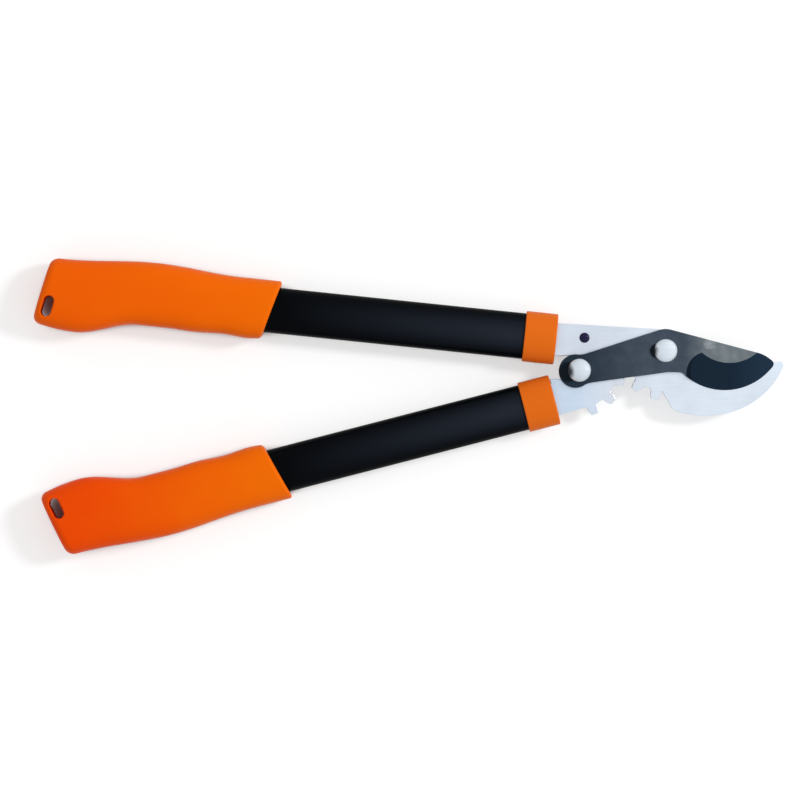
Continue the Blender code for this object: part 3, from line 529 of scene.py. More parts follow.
HOOK_REACH, GEAR_REACH = (-35.0 * MM, 5.0 * MM), (-55.0 * MM, -30.0 * MM)
PALE_HOOK = brushed_steel(
    "pale_hook_finish", (0.65, 0.71, 0.81), 0.30, math.radians(6), (0.71, 0.79, 0.89), HOOK_REACH
)
PALE_GEAR = brushed_steel(
    "pale_gear_finish", (0.57, 0.68, 0.82), 0.30, math.radians(-14), (0.70, 0.75, 0.84), GEAR_REACH
)
# the zinc carries painted shade at the left of the bolt heads
ZINC = brushed_steel("zinc_finish", (0.64, 0.69, 0.74), 0.78, 0.0, painted_shade=HEAD_PAINTED_SHADE)
BRONZE = brushed_steel("bronze_finish", (0.45, 0.27, 0.10), 0.32, 0.0)
print("made", [finish.name for finish in (PALE_HOOK, PALE_GEAR, ZINC, BRONZE)])

# %% [markdown]
# ### Stamped sides
# A press leaves its marks on the sides of a plate: a burnished band where the punch sheared the steel, and
# a rougher, greyer one where it tore. The border between them is never straight. The two bands could be
# two strips of faces, but a border that follows the height, moved by streaks, needs no cut in the mesh.

# %% The stamped side of a plate
BORDER_SHARE, STREAK_REACH, BORDER_BLUR = 0.8, 1.2 * MM, 0.15 * MM


def stamped_side(name, burnished, torn, low, high):
    """Burnished where the height plus the streaks passes the border's share of the thickness, torn below."""
    material, shader = new_finish(name, torn, roughness=0.45, metallic=1.0)
    streaks = lines_along(material, (1500.0, 1500.0, 60.0))
    push = calculate(material, "MULTIPLY", streaks, STREAK_REACH)
    height = calculate(material, "ADD", axes(material)["Z"], push)
    border = low + BORDER_SHARE * (high - low)
    share = ramp(material, height, border - BORDER_BLUR, border + BORDER_BLUR)
    link(material, blend_colour(material, share, torn, burnished), shader.inputs["Base Color"])
    link(material, ramp(material, share, 0.0, 1.0, 0.5, 0.25), shader.inputs["Roughness"])
    link(material, bump(material, streaks, 0.06 * MM, strength=0.4), shader.inputs["Normal"])
    return material


STAMPED_SIDE = stamped_side(
    "stamped_side_finish", (0.56, 0.62, 0.69), (0.36, 0.39, 0.43), PLATE_LOW, PLATE_HIGH
)
print("the plates are", round((PLATE_HIGH - PLATE_LOW) / MM, 2), "mm thick")

# %% [markdown]
# ### The blade's coat
# The lever has a thin blue-grey coating, and the flat beside the grind is a paler grey. The lightening from
# the dark tail to the pale flat is partly the coat's tone and partly painted reflection. Paler clouds,
# strongest in one patch near the spine, are a painted sheen, and dark marks on the side of both bolts away
# from the light are painted shadows of the heads. A separate coat for each place would show its border. Here
# each tone blends into the next along the blade, over a stretch that a noise moves.

# %% Coated flat
# painted shadow: a dark tone for the shadows that the bolt heads cast on the blade, away from the light
PAINTED_SHADOW_TONE, PAINTED_SHADOW_EDGE = (0.006, 0.009, 0.014), 0.6 * MM
PAINTED_SHADOW_SPOTS = ((MAIN_PIVOT - [5.4 * MM, 0.3 * MM], 4.4 * MM), (REAR_PIVOT - [7.0 * MM, 1.2 * MM], 6.0 * MM))
# painted sheen: a paler patch near the spine, drawn in strokes
PAINTED_SHEEN_PATCH, PAINTED_SHEEN_RADIUS, PAINTED_SHEEN_EDGE = np.array([27.2, 4.6]) * MM, 2.6 * MM, 2.2 * MM
PAINTED_SHEEN_TURN, POLISH_TURN = math.radians(15), math.radians(8)
TAIL_REACH, FLAT_REACH, CLOUD_REACH = (-50.0 * MM, -8.0 * MM), (18.0 * MM, 32.0 * MM), (20.0 * MM, 30.0 * MM)
COAT_DRIFT = 14.0 * MM


def coated_flat(name, tail, lever, flat, sheen_tone):
    """Grey that lightens along the lever from the tail to the hub, and again over the blade's flat, partly as
    painted reflection.
    """
    material, shader = new_finish(name, lever, roughness=0.36, metallic=0.9, specular=0.2)
    place = placed(material)
    drift = calculate(material, "MULTIPLY", noise(material, place, scale=70.0, detail=3.0), COAT_DRIFT)
    along = calculate(material, "ADD", axes(material, place)["X"], drift)
    # partly painted reflection: the tone lightens from the tail to the hub and again over the flat
    colour = blend_colour(material, ramp(material, along, *TAIL_REACH), tail, lever)
    colour = blend_colour(material, ramp(material, along, *FLAT_REACH), colour, flat)
    # painted sheen: paler clouds over the flat, and the paler patch near the spine
    clouds = ramp(material, noise(material, place, scale=95.0), 0.46, 0.70, high_out=0.25)
    clouds = calculate(material, "MULTIPLY", clouds, ramp(material, along, *CLOUD_REACH))
    strokes = lines_along(material, (110.0, 520.0, 400.0), PAINTED_SHEEN_TURN, detail=4.0)
    patch = ragged_spot(material, PAINTED_SHEEN_PATCH, PAINTED_SHEEN_RADIUS, PAINTED_SHEEN_EDGE)
    patch = calculate(material, "MULTIPLY", patch, ramp(material, strokes, 0.34, 0.66, low_out=0.3))
    colour = blend_colour(material, calculate(material, "MAXIMUM", clouds, patch), colour, sheen_tone)
    # painted shadows of the bolt heads on the blade
    for spot, radius in PAINTED_SHADOW_SPOTS:
        colour = blend_colour(material, ragged_spot(material, spot, radius, PAINTED_SHADOW_EDGE), colour, PAINTED_SHADOW_TONE)
    mottle = ramp(material, noise(material, place, scale=160.0, detail=4.0), *MOST, 0.88, 1.12)
    link(material, scaled(material, colour, mottle), shader.inputs["Base Color"])
    lines = lines_along(material, (60.0, 1800.0, 400.0), POLISH_TURN)
    link(material, bump(material, lines, 0.015 * MM, strength=0.3), shader.inputs["Normal"])
    link(material, ramp(material, lines, *MOST, 0.30, 0.42), shader.inputs["Roughness"])
    return material


# the tail's and the flat's tones are partly painted reflection
TAIL_TONE_WITH_REFLECTION, COAT_LEVER = (0.015, 0.026, 0.041), (0.052, 0.069, 0.096)
# the second tone of this line is a painted sheen
FLAT_TONE_WITH_REFLECTION, PAINTED_SHEEN_TONE = (0.136, 0.162, 0.178), (0.34, 0.37, 0.40)
DARK_FLAT = coated_flat("coated_flat_finish", TAIL_TONE_WITH_REFLECTION, COAT_LEVER, FLAT_TONE_WITH_REFLECTION, PAINTED_SHEEN_TONE)
# the dark marks at the bolts are painted shadows
print("made", DARK_FLAT.name, "with painted_head_shadows at", len(PAINTED_SHADOW_SPOTS), "bolts")

# %% [markdown]
# ### The ground bevel
# A wheel leaves lines that all point to the centre of the grind. The steel's colour is painted nearly black,
# a painted dark reflection, and painted paler towards the tip, a painted sheen. A noise read by its angle and
# distance about that centre, and stretched along the distance, fans out in the same way. Straight lines at
# one angle would look brushed and not ground.

# %% Ground bevel and the blade's sides
GRIND_CENTRE, GRIND_RADIUS = np.array([38.9, 17.9]) * MM, 25.4 * MM
TIP_SHEEN_REACH, TIP_PAINTED_SHEEN = (40.0 * MM, 57.0 * MM), 1.45


def ground_bevel(name, dark, worn):
    """Grinding lines: noise along the angle about the grind's centre, stretched along its radius."""
    material, shader = new_finish(name, dark, roughness=0.32, metallic=0.9, specular=0.2)
    place = placed(material, move=(-GRIND_CENTRE[0], -GRIND_CENTRE[1], 0.0))
    parts = axes(material, place)
    angle = calculate(material, "ARCTAN2", parts["Y"], parts["X"])
    radius = add_node(material, "VectorMath", {0: place}, operation="LENGTH").outputs["Value"]
    fan = add_node(material, "CombineXYZ", {"X": angle, "Y": radius}).outputs["Vector"]
    stretched = add_node(material, "Mapping", {"Vector": fan, "Scale": (120.0, 60.0, 1.0)}).outputs["Vector"]
    lines = noise(material, stretched, detail=4.0, roughness=0.65)
    link(material, bump(material, lines, 0.02 * MM, strength=0.4), shader.inputs["Normal"])
    colour = blend_colour(material, ramp(material, lines, 0.35, 0.7), dark, worn)
    # painted sheen: the colour is scaled paler towards the tip
    tip_sheen = ramp(material, axes(material)["X"], *TIP_SHEEN_REACH, 1.0, TIP_PAINTED_SHEEN)
    link(material, scaled(material, colour, tip_sheen), shader.inputs["Base Color"])
    return material


# the bevel's near-black colours stand for a painted dark reflection
DARK_BEVEL = ground_bevel("ground_bevel_finish", (0.007, 0.017, 0.032), (0.012, 0.024, 0.042))
DARK_SIDE = stamped_side(
    "blade_side_finish", (0.05, 0.065, 0.085), (0.022, 0.030, 0.040), BLADE_LOW, BLADE_HIGH
)
print("made", [finish.name for finish in (DARK_BEVEL, DARK_SIDE)])

# %% [markdown]
# ## Grips
# A grip is a sleeve of orange plastic. Across the handle its section is a rounded rectangle, a
# superellipse, whose two half widths change along the grip: the palm side swells gently, and the finger
# side has a stop near the butt. Every ring lies in a slanting plane, because both ends are cut on a slant.
# It could be pulled into shape from a box with subdivision, but a formula for the half widths keeps both
# grips alike. The solid's facets lie a little inside the true curve, so the fine skin is inset by as much.

# %% Sizes and swells of a grip
GRIP_START, GRIP_LENGTH = 174.5 * MM, 140.5 * MM
FRONT_SLANT, BUTT_SLANT = 0.27, 0.20
PALM_SIDE, FINGER_SIDE = 18.2 * MM, 17.6 * MM
GRIP_HALF_HEIGHT = 13.0 * MM
SQUARENESS = 2.8
SKIN_INSET = 0.12 * MM
FRONT_ROUNDING, BUTT_ROUNDING, BUTT_DEPTH, BUTT_CROWN = 2.0 * MM, 5.0 * MM, 4.2 * MM, 0.4 * MM
PALM_SWELL = (73.5 * MM, 55.0 * MM, 55.0 * MM, 3.3 * MM)
FINGER_SWELLS = (
    (GRIP_LENGTH - 24.0 * MM, 36.0 * MM, 60.0 * MM, 8.3 * MM),
    (13.5 * MM, 16.0 * MM, 16.0 * MM, 1.1 * MM),
    (45.5 * MM, 17.0 * MM, 17.0 * MM, 0.7 * MM),
)


def swell(place, middle, before, behind, height):
    """Half a cosine wave: its height at the middle, and nothing beyond its reach before and behind."""
    share = np.clip(np.abs(place - middle) / np.where(place > middle, behind, before), 0.0, 1.0)
    return height * (0.5 + 0.5 * np.cos(np.pi * share))


def slant_at(place):
    """How far a ring leans, in mm along for each mm across; it changes evenly from front to butt."""
    return FRONT_SLANT + (BUTT_SLANT - FRONT_SLANT) * place / GRIP_LENGTH


def half_widths(place, drawn_in):
    """The outer and the inner half width, taken where the slanting ring meets each side."""
    drawn_in = drawn_in + SKIN_INSET
    outer = PALM_SIDE + swell(place - slant_at(place) * PALM_SIDE, *PALM_SWELL)
    finger_place = place + slant_at(place) * FINGER_SIDE
    inner = FINGER_SIDE + sum(swell(finger_place, *each) for each in FINGER_SWELLS)
    return outer - drawn_in, inner - drawn_in


places = np.linspace(0.0, GRIP_LENGTH, 200)
widths = sum(half_widths(places, 0.0)) / MM
print("a grip is between", widths.min().round(1), "and", widths.max().round(1), "mm wide")

# %% [markdown]
# ### Rings round a handle
# A grip's ring is a superellipse, whose power says how square it is, and a tube's ring is an ellipse. The
# two functions give three numbers for each point: along the handle, across it and up. A circle that is
# scaled could make the ellipse, but the grip's two sides differ, and one way of working serves both.

# %% Superellipse and oval
SIDES = 144


def signed_power(value, power):
    """The value's size to a power, with the value's own sign."""
    return np.sign(value) * np.abs(value) ** power


def round_angles(count=SIDES, first=0.5):
    """Even angles right round, beginning at the first share of a step."""
    return (np.arange(count) + first) * 2 * np.pi / count


def quarter_angles(count):
    """Even angles from 0 to a right angle, with both."""
    return np.linspace(0.0, np.pi / 2, count)


def grip_section(place, drawn_in):
    """Rings of the grip's skin: (along, across, up) for each place and each angle round it.

    Across is the middle of the two half widths plus their mean times the cosine, and up is the half
    height times the sine, both to the power 2 / squareness. Drawing in makes a ring smaller all round.
    """
    place, drawn_in = place[:, None], drawn_in[:, None]
    outer, inner = half_widths(place, drawn_in)
    turn = round_angles()[None, :]
    across = (outer - inner) / 2 + (outer + inner) / 2 * signed_power(np.cos(turn), 2 / SQUARENESS)
    up = (GRIP_HALF_HEIGHT - drawn_in) * signed_power(np.sin(turn), 2 / SQUARENESS)
    return GRIP_START + place - slant_at(place) * across, across, up


def oval(along, half_width, half_height, slant=0.0):
    """Rings of an ellipse across the handle, each at its place along it, in a plane that may slant."""
    turn = round_angles()[None, :]
    across = np.asarray(half_width)[..., None] * np.cos(turn)
    up = np.asarray(half_height)[..., None] * np.sin(turn)
    return np.asarray(along)[:, None] - slant * across, across, up


print("a ring has", SIDES, "points, one every", 360 / SIDES, "degrees")

# %% [markdown]
# ### The skin of a grip, from pole to pole
# The moulding is closed at the butt and open at the front, where the tube goes in. The rows start at a pole
# on the butt, and run over its crown and rounding, along the sides, round the front rim, across the front
# face and down the socket to a second pole. A modifier could give a wall instead, but a socket of its own
# shape is what the tube needs.

# %% Rows of the skin and the socket
QUARTER_ROWS, CROWN_ROWS, SIDE_ROWS, FACE_ROWS = 12, 10, 150, 6
TUBE_HALF_WIDTH, TUBE_HALF_THICKNESS, TUBE_WALL = 14.0 * MM, 9.5 * MM, 1.5 * MM
TUBE_IN_GRIP, SOCKET_SPARE = 93.5 * MM, 6.5 * MM
MOUTH_DEPTHS = np.array([0.0, 0.1, 0.4, 1.0, 10.0, 60.0]) * MM
MOUTH_GAPS = GAP * np.array([2.4, 1.4, 1.05, 1.0, 1.0, 1.0])
SOCKET_END = np.array([1.0, 0.5, 0.0])


def grip_rows():
    """Each row's place along the grip, and how far it is drawn in."""
    quarter = quarter_angles(QUARTER_ROWS)
    crown = np.linspace(1.0, 0.0, CROWN_ROWS)
    flat_end = GRIP_HALF_HEIGHT - BUTT_DEPTH
    place = [GRIP_LENGTH + BUTT_CROWN * (1 - (1 - crown) ** 2)]
    drawn = [GRIP_HALF_HEIGHT - flat_end * (1 - crown)]
    place.append(GRIP_LENGTH - BUTT_ROUNDING * (1 - np.cos(quarter[1:])))
    drawn.append(BUTT_DEPTH * (1 - np.sin(quarter[1:])))
    sides = np.linspace(GRIP_LENGTH - BUTT_ROUNDING, FRONT_ROUNDING, SIDE_ROWS)[1:]
    place.append(sides)
    drawn.append(np.zeros_like(sides))
    place.append(FRONT_ROUNDING * (1 - np.sin(quarter[1:])))
    drawn.append(FRONT_ROUNDING * (1 - np.cos(quarter[1:])))
    return np.concatenate(place), np.concatenate(drawn)


def grip_skin(side):
    """The skin's rings, then the face between its last ring and the bore's first, the bore and its end."""
    skin = np.stack(grip_section(*grip_rows()), axis=-1)
    width, thickness = TUBE_HALF_WIDTH + MOUTH_GAPS, TUBE_HALF_THICKNESS + MOUTH_GAPS
    bore = np.stack(oval(GRIP_START + MOUTH_DEPTHS, width, thickness, FRONT_SLANT), axis=-1)
    face = skin[-1] + (bore[0] - skin[-1]) * np.linspace(0.0, 1.0, FACE_ROWS)[1:-1, None, None]
    depth = np.full(len(SOCKET_END), GRIP_START + TUBE_IN_GRIP + SOCKET_SPARE)
    width, thickness = (TUBE_HALF_WIDTH + GAP) * SOCKET_END, (TUBE_HALF_THICKNESS + GAP) * SOCKET_END
    end = np.stack(oval(depth, width, thickness), axis=-1)
    return in_handle(side, *np.moveaxis(np.concatenate([skin, face, bore, end]), -1, 0))


print("a grip's skin has", len(grip_rows()[0]), "rows")

# %% [markdown]
# ### The hang slot
# Near the butt a slot goes through each grip, to hang the tool from a nail. Its cutter is a stadium, two
# half circles joined by straight sides. It widens in a quarter circle where it leaves the skin, so that
# the lip of the slot is rounded. A straight cutter and a bevel after it could do that, but the skin slopes
# away there, and rings that follow its height keep the lip even.

# %% The hang slot's cutter
SLOT_FROM_BUTT, SLOT_ACROSS = 4.3 * MM, -11.7 * MM
SLOT_WIDTH, SLOT_LENGTH, SLOT_LIP = 6.4 * MM, 13.0 * MM, 0.9 * MM
OVER_SKIN, OVER_GRIP = 2.0 * MM, 4.0 * MM


def stadium(radius, half_length, turn, count=72):
    """A circle whose two halves are moved apart by the half length, then turned."""
    angle = round_angles(count)
    x, y = radius * np.cos(angle), radius * np.sin(angle) + half_length * np.sign(np.sin(angle))
    return x * np.cos(turn) - y * np.sin(turn), x * np.sin(turn) + y * np.cos(turn)


def skin_height(along, across):
    """The skin's height above the middle: its half height times (1 - |u| ** n) ** (1 / n).

    Here u is the share of the half width, and n the squareness.
    """
    lean = (BUTT_SLANT - FRONT_SLANT) / GRIP_LENGTH
    place = (along - GRIP_START + across * FRONT_SLANT) / (1 - across * lean)
    into_end = np.clip((place - GRIP_LENGTH + BUTT_ROUNDING) / BUTT_ROUNDING, 0.0, 1.0)
    drawn_in = BUTT_DEPTH * (1 - np.sqrt(1 - into_end**2))
    outer, inner = half_widths(place, drawn_in)
    share = np.clip(np.abs(across - (outer - inner) / 2) / ((outer + inner) / 2), 0.0, 1.0)
    return (GRIP_HALF_HEIGHT - drawn_in) * (1 - share**SQUARENESS) ** (1 / SQUARENESS)


def slot_cutter(side):
    """Rings from a pole above the grip down the quarter circle of the lip, and the same again below."""
    turn = quarter_angles(count=9)
    wider = np.concatenate([[SLOT_LIP], SLOT_LIP * (1 - np.sin(turn))])
    deeper = np.concatenate([[-OVER_SKIN], SLOT_LIP * (1 - np.cos(turn))])
    x, y = stadium(SLOT_WIDTH / 2 + wider[:, None], (SLOT_LENGTH - SLOT_WIDTH) / 2, math.atan(BUTT_SLANT))
    along, across = GRIP_START + GRIP_LENGTH - SLOT_FROM_BUTT + x, SLOT_ACROSS + y
    up = skin_height(along, across) - deeper[:, None]
    rings = in_handle(side, along, across, up)
    below = in_handle(side, along, across, -up)[::-1]
    ends = np.array([1.0, -1.0]) * (GRIP_HALF_HEIGHT + OVER_GRIP)
    middle = in_handle(side, along.mean(), across.mean(), ends)
    poles = [np.broadcast_to(pole, (1, *rings.shape[1:])) for pole in middle]
    return surface("slot_cutter", np.concatenate([poles[0], rings, below, poles[1]]))


print("the slots are", round(SLOT_WIDTH / MM, 1), "by", round(SLOT_LENGTH / MM, 1), "mm")

# %% [markdown]
# ### Both grips
# One loop makes both: a skin, the slot cut through it, a new shading for the mesh that the cut has left,
# and the calls that tie the grip to its handle. The finish comes last, so that the slot's walls have it too.

# %% Make the grips
for side in AXIS:
    grip = surface(side + "_handle_grip", grip_skin(side))
    combined(grip, "DIFFERENCE", slot_cutter(side))
    finish_mesh(grip.data)
    finish_piece(grip, side + "_handle", side + "_grip", "orange_grip", ORANGE_GRIP[side])

# %% [markdown]
# ## Tubes
# A tube is aluminium, drawn to an oval, with a wall of even thickness. It is one ring carried along the
# handle. The rows run along its outside and back along the bore, so the wall and its two end faces come
# with the grid. A plain sleeve with a solidify modifier would look the same, but it is one more step.

# %% Tube
COLLAR_LENGTH, COLLAR_FRONT, COLLAR_WALL, COLLAR_ROUNDING = 19.5 * MM, 1.8 * MM, 1.2 * MM, 0.9 * MM
OUTSIDE_ROWS, BORE_ROWS = 60, 12


def tube_rings():
    """An ellipse at each place: the tube's half sizes on the way out, and less the wall on the way back."""
    start, end = COLLAR_FRONT + GAP, GRIP_START + TUBE_IN_GRIP
    outside, bore = np.linspace(start, end, OUTSIDE_ROWS), np.linspace(end, start, BORE_ROWS)
    wall = np.repeat([0.0, TUBE_WALL], [OUTSIDE_ROWS, BORE_ROWS])
    return oval(np.concatenate([outside, bore]), TUBE_HALF_WIDTH - wall, TUBE_HALF_THICKNESS - wall)


print("a tube's grid has", len(tube_rings()[0]), "rows")

# %% [markdown]
# ## Collars
# A collar is a moulded cap over the tube's end, and its front wall has a slot that the steel tang comes
# through. Its rows have as many points in the slot as outside, so the grid closes on itself with no cut.
# Cutting the slot with a Boolean would do too, but the rounded outer edges would then need a bevel.

# %% Collar
TANG_WIDTH, TANG_SQUARENESS = 20.0 * MM, 14
REAR_EDGE, BORE_SEAT, SLOT_EDGE = 0.5 * MM, 1.0 * MM, 0.3 * MM


def tang_slot(along):
    """A nearly square-cornered ring, a superellipse of high power, that clears the tang all round."""
    turn = round_angles()[None, :]
    power = 2 / TANG_SQUARENESS
    across = (TANG_WIDTH / 2 + GAP) * signed_power(np.cos(turn), power)
    up = ((PLATE_HIGH - PLATE_LOW) / 2 + GAP) * signed_power(np.sin(turn), power)
    return np.broadcast_arrays(along[:, None], across, up)


def collar_rings():
    """Outside rings with both edges rounded, front face, slot, back of the front wall, bore and rear face."""
    quarter = quarter_angles(count=8)
    sides = np.linspace(COLLAR_ROUNDING, COLLAR_LENGTH - REAR_EDGE, 14)[1:-1]
    rear = COLLAR_LENGTH - REAR_EDGE * (1 - np.sin(quarter))
    along = np.concatenate([COLLAR_ROUNDING * (1 - np.cos(quarter)), sides, rear])
    front_in, rear_in = COLLAR_ROUNDING * (1 - np.sin(quarter)), REAR_EDGE * (1 - np.cos(quarter))
    wall = GAP + COLLAR_WALL - np.concatenate([front_in, np.zeros_like(sides), rear_in])
    outside = oval(along, TUBE_HALF_WIDTH + wall, TUBE_HALF_THICKNESS + wall)
    bore_x = np.array([COLLAR_LENGTH, COLLAR_LENGTH - BORE_SEAT, COLLAR_FRONT])
    clear = np.full_like(bore_x, GAP)
    bore = oval(bore_x, TUBE_HALF_WIDTH + clear, TUBE_HALF_THICKNESS + clear)
    slot = tang_slot(np.array([COLLAR_FRONT, SLOT_EDGE, 0.0]))
    return [np.concatenate(parts) for parts in zip(outside, bore, slot)]


print("a collar's grid has", len(collar_rings()[0]), "rows")

# %% Make the tubes and the collars
TUBE_PARTS = (
    ("tube", tube_rings(), "black_tube", BLACK_TUBE),
    ("collar", collar_rings(), "orange_collar", ORANGE_COLLAR),
)
for side in AXIS:
    for part, rings, slot, finish in TUBE_PARTS:
        piece = surface(f"{side}_handle_{part}", in_handle(side, *rings), closed_along=True)
        finish_piece(piece, side + "_handle", f"{side}_{part}", slot, finish)

# %% [markdown]
# ## Outlines of the steel
# The plates are stamped from sheet, so each is an outline with holes. An outline could be traced from the
# picture point by point, but arcs, and short curves at the corners, are what a draughtsman would draw, and
# each has a few sizes that say what it is.

# %% Curves in the plane
def arc(centre, radius, start, end, count):
    """The centre plus the radius in directions from the start angle to the end angle."""
    return polar(radius, np.linspace(start, end, count), centre)


def bend(start, corner, end, count=9):
    """A quadratic curve between two points, drawn towards a corner.

    The start is weighted by (1 - t) squared, the corner by 2 t (1 - t), and the end by t squared.
    """
    t = np.linspace(0.0, 1.0, count)[:, None]
    return (1 - t) ** 2 * start + 2 * t * (1 - t) * corner + t**2 * end


def unit(vector):
    """The vector divided by its length."""
    return vector / np.linalg.norm(vector)


def rounded(before, corner, after, radius, count=7):
    """A bend that starts and ends at the radius's distance from the corner, towards its neighbours."""
    start, end = (corner + unit(beside - corner) * radius for beside in (before, after))
    return bend(start, corner, end, count)


def heading(vector):
    """The vector's angle, counted from +X towards +Y."""
    return math.atan2(vector[1], vector[0])


print("a square corner bends through", bend(np.zeros(2), np.array([1.0, 0.0]), np.ones(2), 3)[1])

# %% [markdown]
# ### Gear teeth
# The hook plate and the gear plate mesh, so that the handles open further than the blade. The involute of
# a circle is the path of a thread's end as it unwinds, and teeth of that form roll on each other evenly.
# Teeth drawn by eye would look right shut and clash half open. Only the four that ever meet are cut.

# %% Gear teeth
MODULE, HOOK_TEETH, HANDLE_TEETH, TEETH_CUT = 4.0 * MM, 14, 13, 4
PRESSURE_ANGLE, BACKLASH = math.radians(20), 0.7 * MM
ADDENDUM, TIP_CLEARANCE, ROOT_FILLET, FILLET_SAG = 2.6 * MM, 0.5 * MM, 0.7 * MM, 0.3
HOOK_PITCH_RADIUS, HANDLE_PITCH_RADIUS = MODULE * HOOK_TEETH / 2, MODULE * HANDLE_TEETH / 2
CENTRE_DISTANCE = HOOK_PITCH_RADIUS + HANDLE_PITCH_RADIUS
CENTRE_LINE = math.radians(192.8)


def involute(angle):
    """The tangent of the angle, less the angle."""
    return np.tan(angle) - angle


def half_tooth(radius, pitch_radius):
    """Half a tooth's angle at a radius: its share at the pitch circle, less the involute's rise."""
    base = pitch_radius * math.cos(PRESSURE_ANGLE)
    at_pitch = (math.pi * MODULE / 2 - BACKLASH / 2) / 2 / pitch_radius
    rise = involute(np.arccos(np.minimum(1.0, base / np.maximum(radius, base))))
    return at_pitch + involute(PRESSURE_ANGLE) - rise


def tooth_side(pitch_radius, middle, side):
    """One flank from root to tip, on one side of the tooth's middle angle."""
    base = pitch_radius * math.cos(PRESSURE_ANGLE)
    root = pitch_radius - ADDENDUM - TIP_CLEARANCE
    spread = ROOT_FILLET / root
    foot = half_tooth(base, pitch_radius)
    flank = np.linspace(max(base, root + ROOT_FILLET), pitch_radius + ADDENDUM, 14)
    start = polar(root, middle + side * (foot + spread))
    corner = polar(root + 0.5 * FILLET_SAG * ROOT_FILLET, middle + side * (foot + 0.2 * spread))
    foot_curve = bend(start, corner, polar(flank[0], middle + side * half_tooth(flank[0], pitch_radius)), 6)
    return np.concatenate([foot_curve[:-1], polar(flank, middle + side * half_tooth(flank, pitch_radius))])


def tooth(pitch_radius, middle):
    """Up one flank and down the other, with a flat top between."""
    return np.concatenate([tooth_side(pitch_radius, middle, -1), tooth_side(pitch_radius, middle, 1)[::-1]])


print("pitch circles of", HOOK_PITCH_RADIUS / MM, "and", HANDLE_PITCH_RADIUS / MM, "mm")

# %% [markdown]
# ### The hook plate
# One stamping is the tang in the upper tube, the gear sector, the hook that holds the branch, and the hub
# round the main pivot. Its outline goes round once, from the tang along its inner edge to the teeth, round
# the hook and back over the hub. The hook's back is a spiral: its distance from the jaw's centre shrinks
# towards the tip. A plain arc would end too blunt there.

# %% Sizes of the hook plate
HOLE_RADIUS = 4.3 * MM
HOOK_HUB_RADIUS, JAW_OVERLAP = 12.9 * MM, 2.0 * MM
BELLY_CENTRE, BELLY_RADIUS, BELLY_TIP_ANGLE = np.array([36.1, 13.1]) * MM, 37.2 * MM, math.radians(-33.6)
HOOK_TIP_WIDTH, HOOK_HEEL_WIDTH, HOOK_TAPER_BOW = 5.2 * MM, 19.7 * MM, 0.28
HOOK_TIP_ANGLE, HOOK_HEEL_ANGLE = math.radians(-31), math.radians(-115)
HOOK_TIP_ROUNDING, HOOK_TIP_SETBACK = 1.2 * MM, math.radians(1)
THROAT_START, THROAT_TURN = math.radians(5), math.radians(14)
VALLEY_RISE, VALLEY_TURN = 1.2 * MM, math.radians(10.5)
SHOULDER_RISE, SHOULDER_TURN, HEEL_BOW = 7.5 * MM, math.radians(17.5), 9.0 * MM
STOP_EDGE_END, TANG_DEPTH = 5.0 * MM, 34.0 * MM
RIVET_PLACE, RIVET_HOLE = np.array([-49.4, 7.9]) * MM, 2.6 * MM
JAW_RADIUS = BELLY_RADIUS - JAW_OVERLAP
print("the jaw's radius is", round(JAW_RADIUS / MM, 1), "mm, and the blade overlaps it by", JAW_OVERLAP / MM)


# %% Hook, jaw and throat
def throat_angle():
    """Where the jaw's circle crosses the hub's, by the law of cosines."""
    reach = np.linalg.norm(BELLY_CENTRE)
    opening = (reach**2 + HOOK_HUB_RADIUS**2 - JAW_RADIUS**2) / (2 * reach * HOOK_HUB_RADIUS)
    return heading(BELLY_CENTRE) - math.acos(opening)


def hook_back(last_tooth):
    """The heel, then a spiral about the belly's centre whose distance shrinks towards the tip."""
    root = HOOK_PITCH_RADIUS - ADDENDUM - TIP_CLEARANCE
    valley = polar(root + VALLEY_RISE, last_tooth + VALLEY_TURN)
    shoulder = polar(root + SHOULDER_RISE, last_tooth + SHOULDER_TURN)
    t = np.linspace(1.0, 0.0, 70)
    share = (1 - HOOK_TAPER_BOW) * t + HOOK_TAPER_BOW * t**2
    width = HOOK_TIP_WIDTH + (HOOK_HEEL_WIDTH - HOOK_TIP_WIDTH) * share
    turn = HOOK_TIP_ANGLE + (HOOK_HEEL_ANGLE - HOOK_TIP_ANGLE) * t
    spiral = polar(BELLY_RADIUS + width, turn, BELLY_CENTRE)
    entry = spiral[0] - unit(spiral[1] - spiral[0]) * HEEL_BOW
    return np.concatenate([valley[None], bend(shoulder, entry, spiral[0], count=16)[:-1], spiral])


def jaw():
    """The blunt tip, the concave jaw, and the throat beside the hub."""
    throat = polar(HOOK_HUB_RADIUS, throat_angle())
    jaw_end = BELLY_TIP_ANGLE - HOOK_TIP_SETBACK
    outer = polar(BELLY_RADIUS + HOOK_TIP_WIDTH, HOOK_TIP_ANGLE, BELLY_CENTRE)
    inner = polar(JAW_RADIUS, jaw_end, BELLY_CENTRE)
    tip_top = np.array([outer[0] - HOOK_TIP_ROUNDING / 2, inner[1] + HOOK_TIP_ROUNDING / 3])
    start = heading(throat - BELLY_CENTRE) + THROAT_START
    sweep = arc(BELLY_CENTRE, JAW_RADIUS, jaw_end, start - 2 * math.pi * (start > 0), count=90)
    seat = bend(sweep[-1], throat, polar(HOOK_HUB_RADIUS, throat_angle() + THROAT_TURN))
    return np.concatenate([rounded(outer, tip_top, inner, HOOK_TIP_ROUNDING), sweep[:-1], seat[:-1]])


print("the throat lies at", round(math.degrees(throat_angle()) % 360, 1), "degrees on the hub")


# %% Tang, stop edge and the whole outline
def touch_angle(centre, radius, point, side):
    """Direction from a circle's centre at which a line from the point touches the circle."""
    away = point - centre
    return heading(away) + side * math.acos(radius / np.linalg.norm(away))


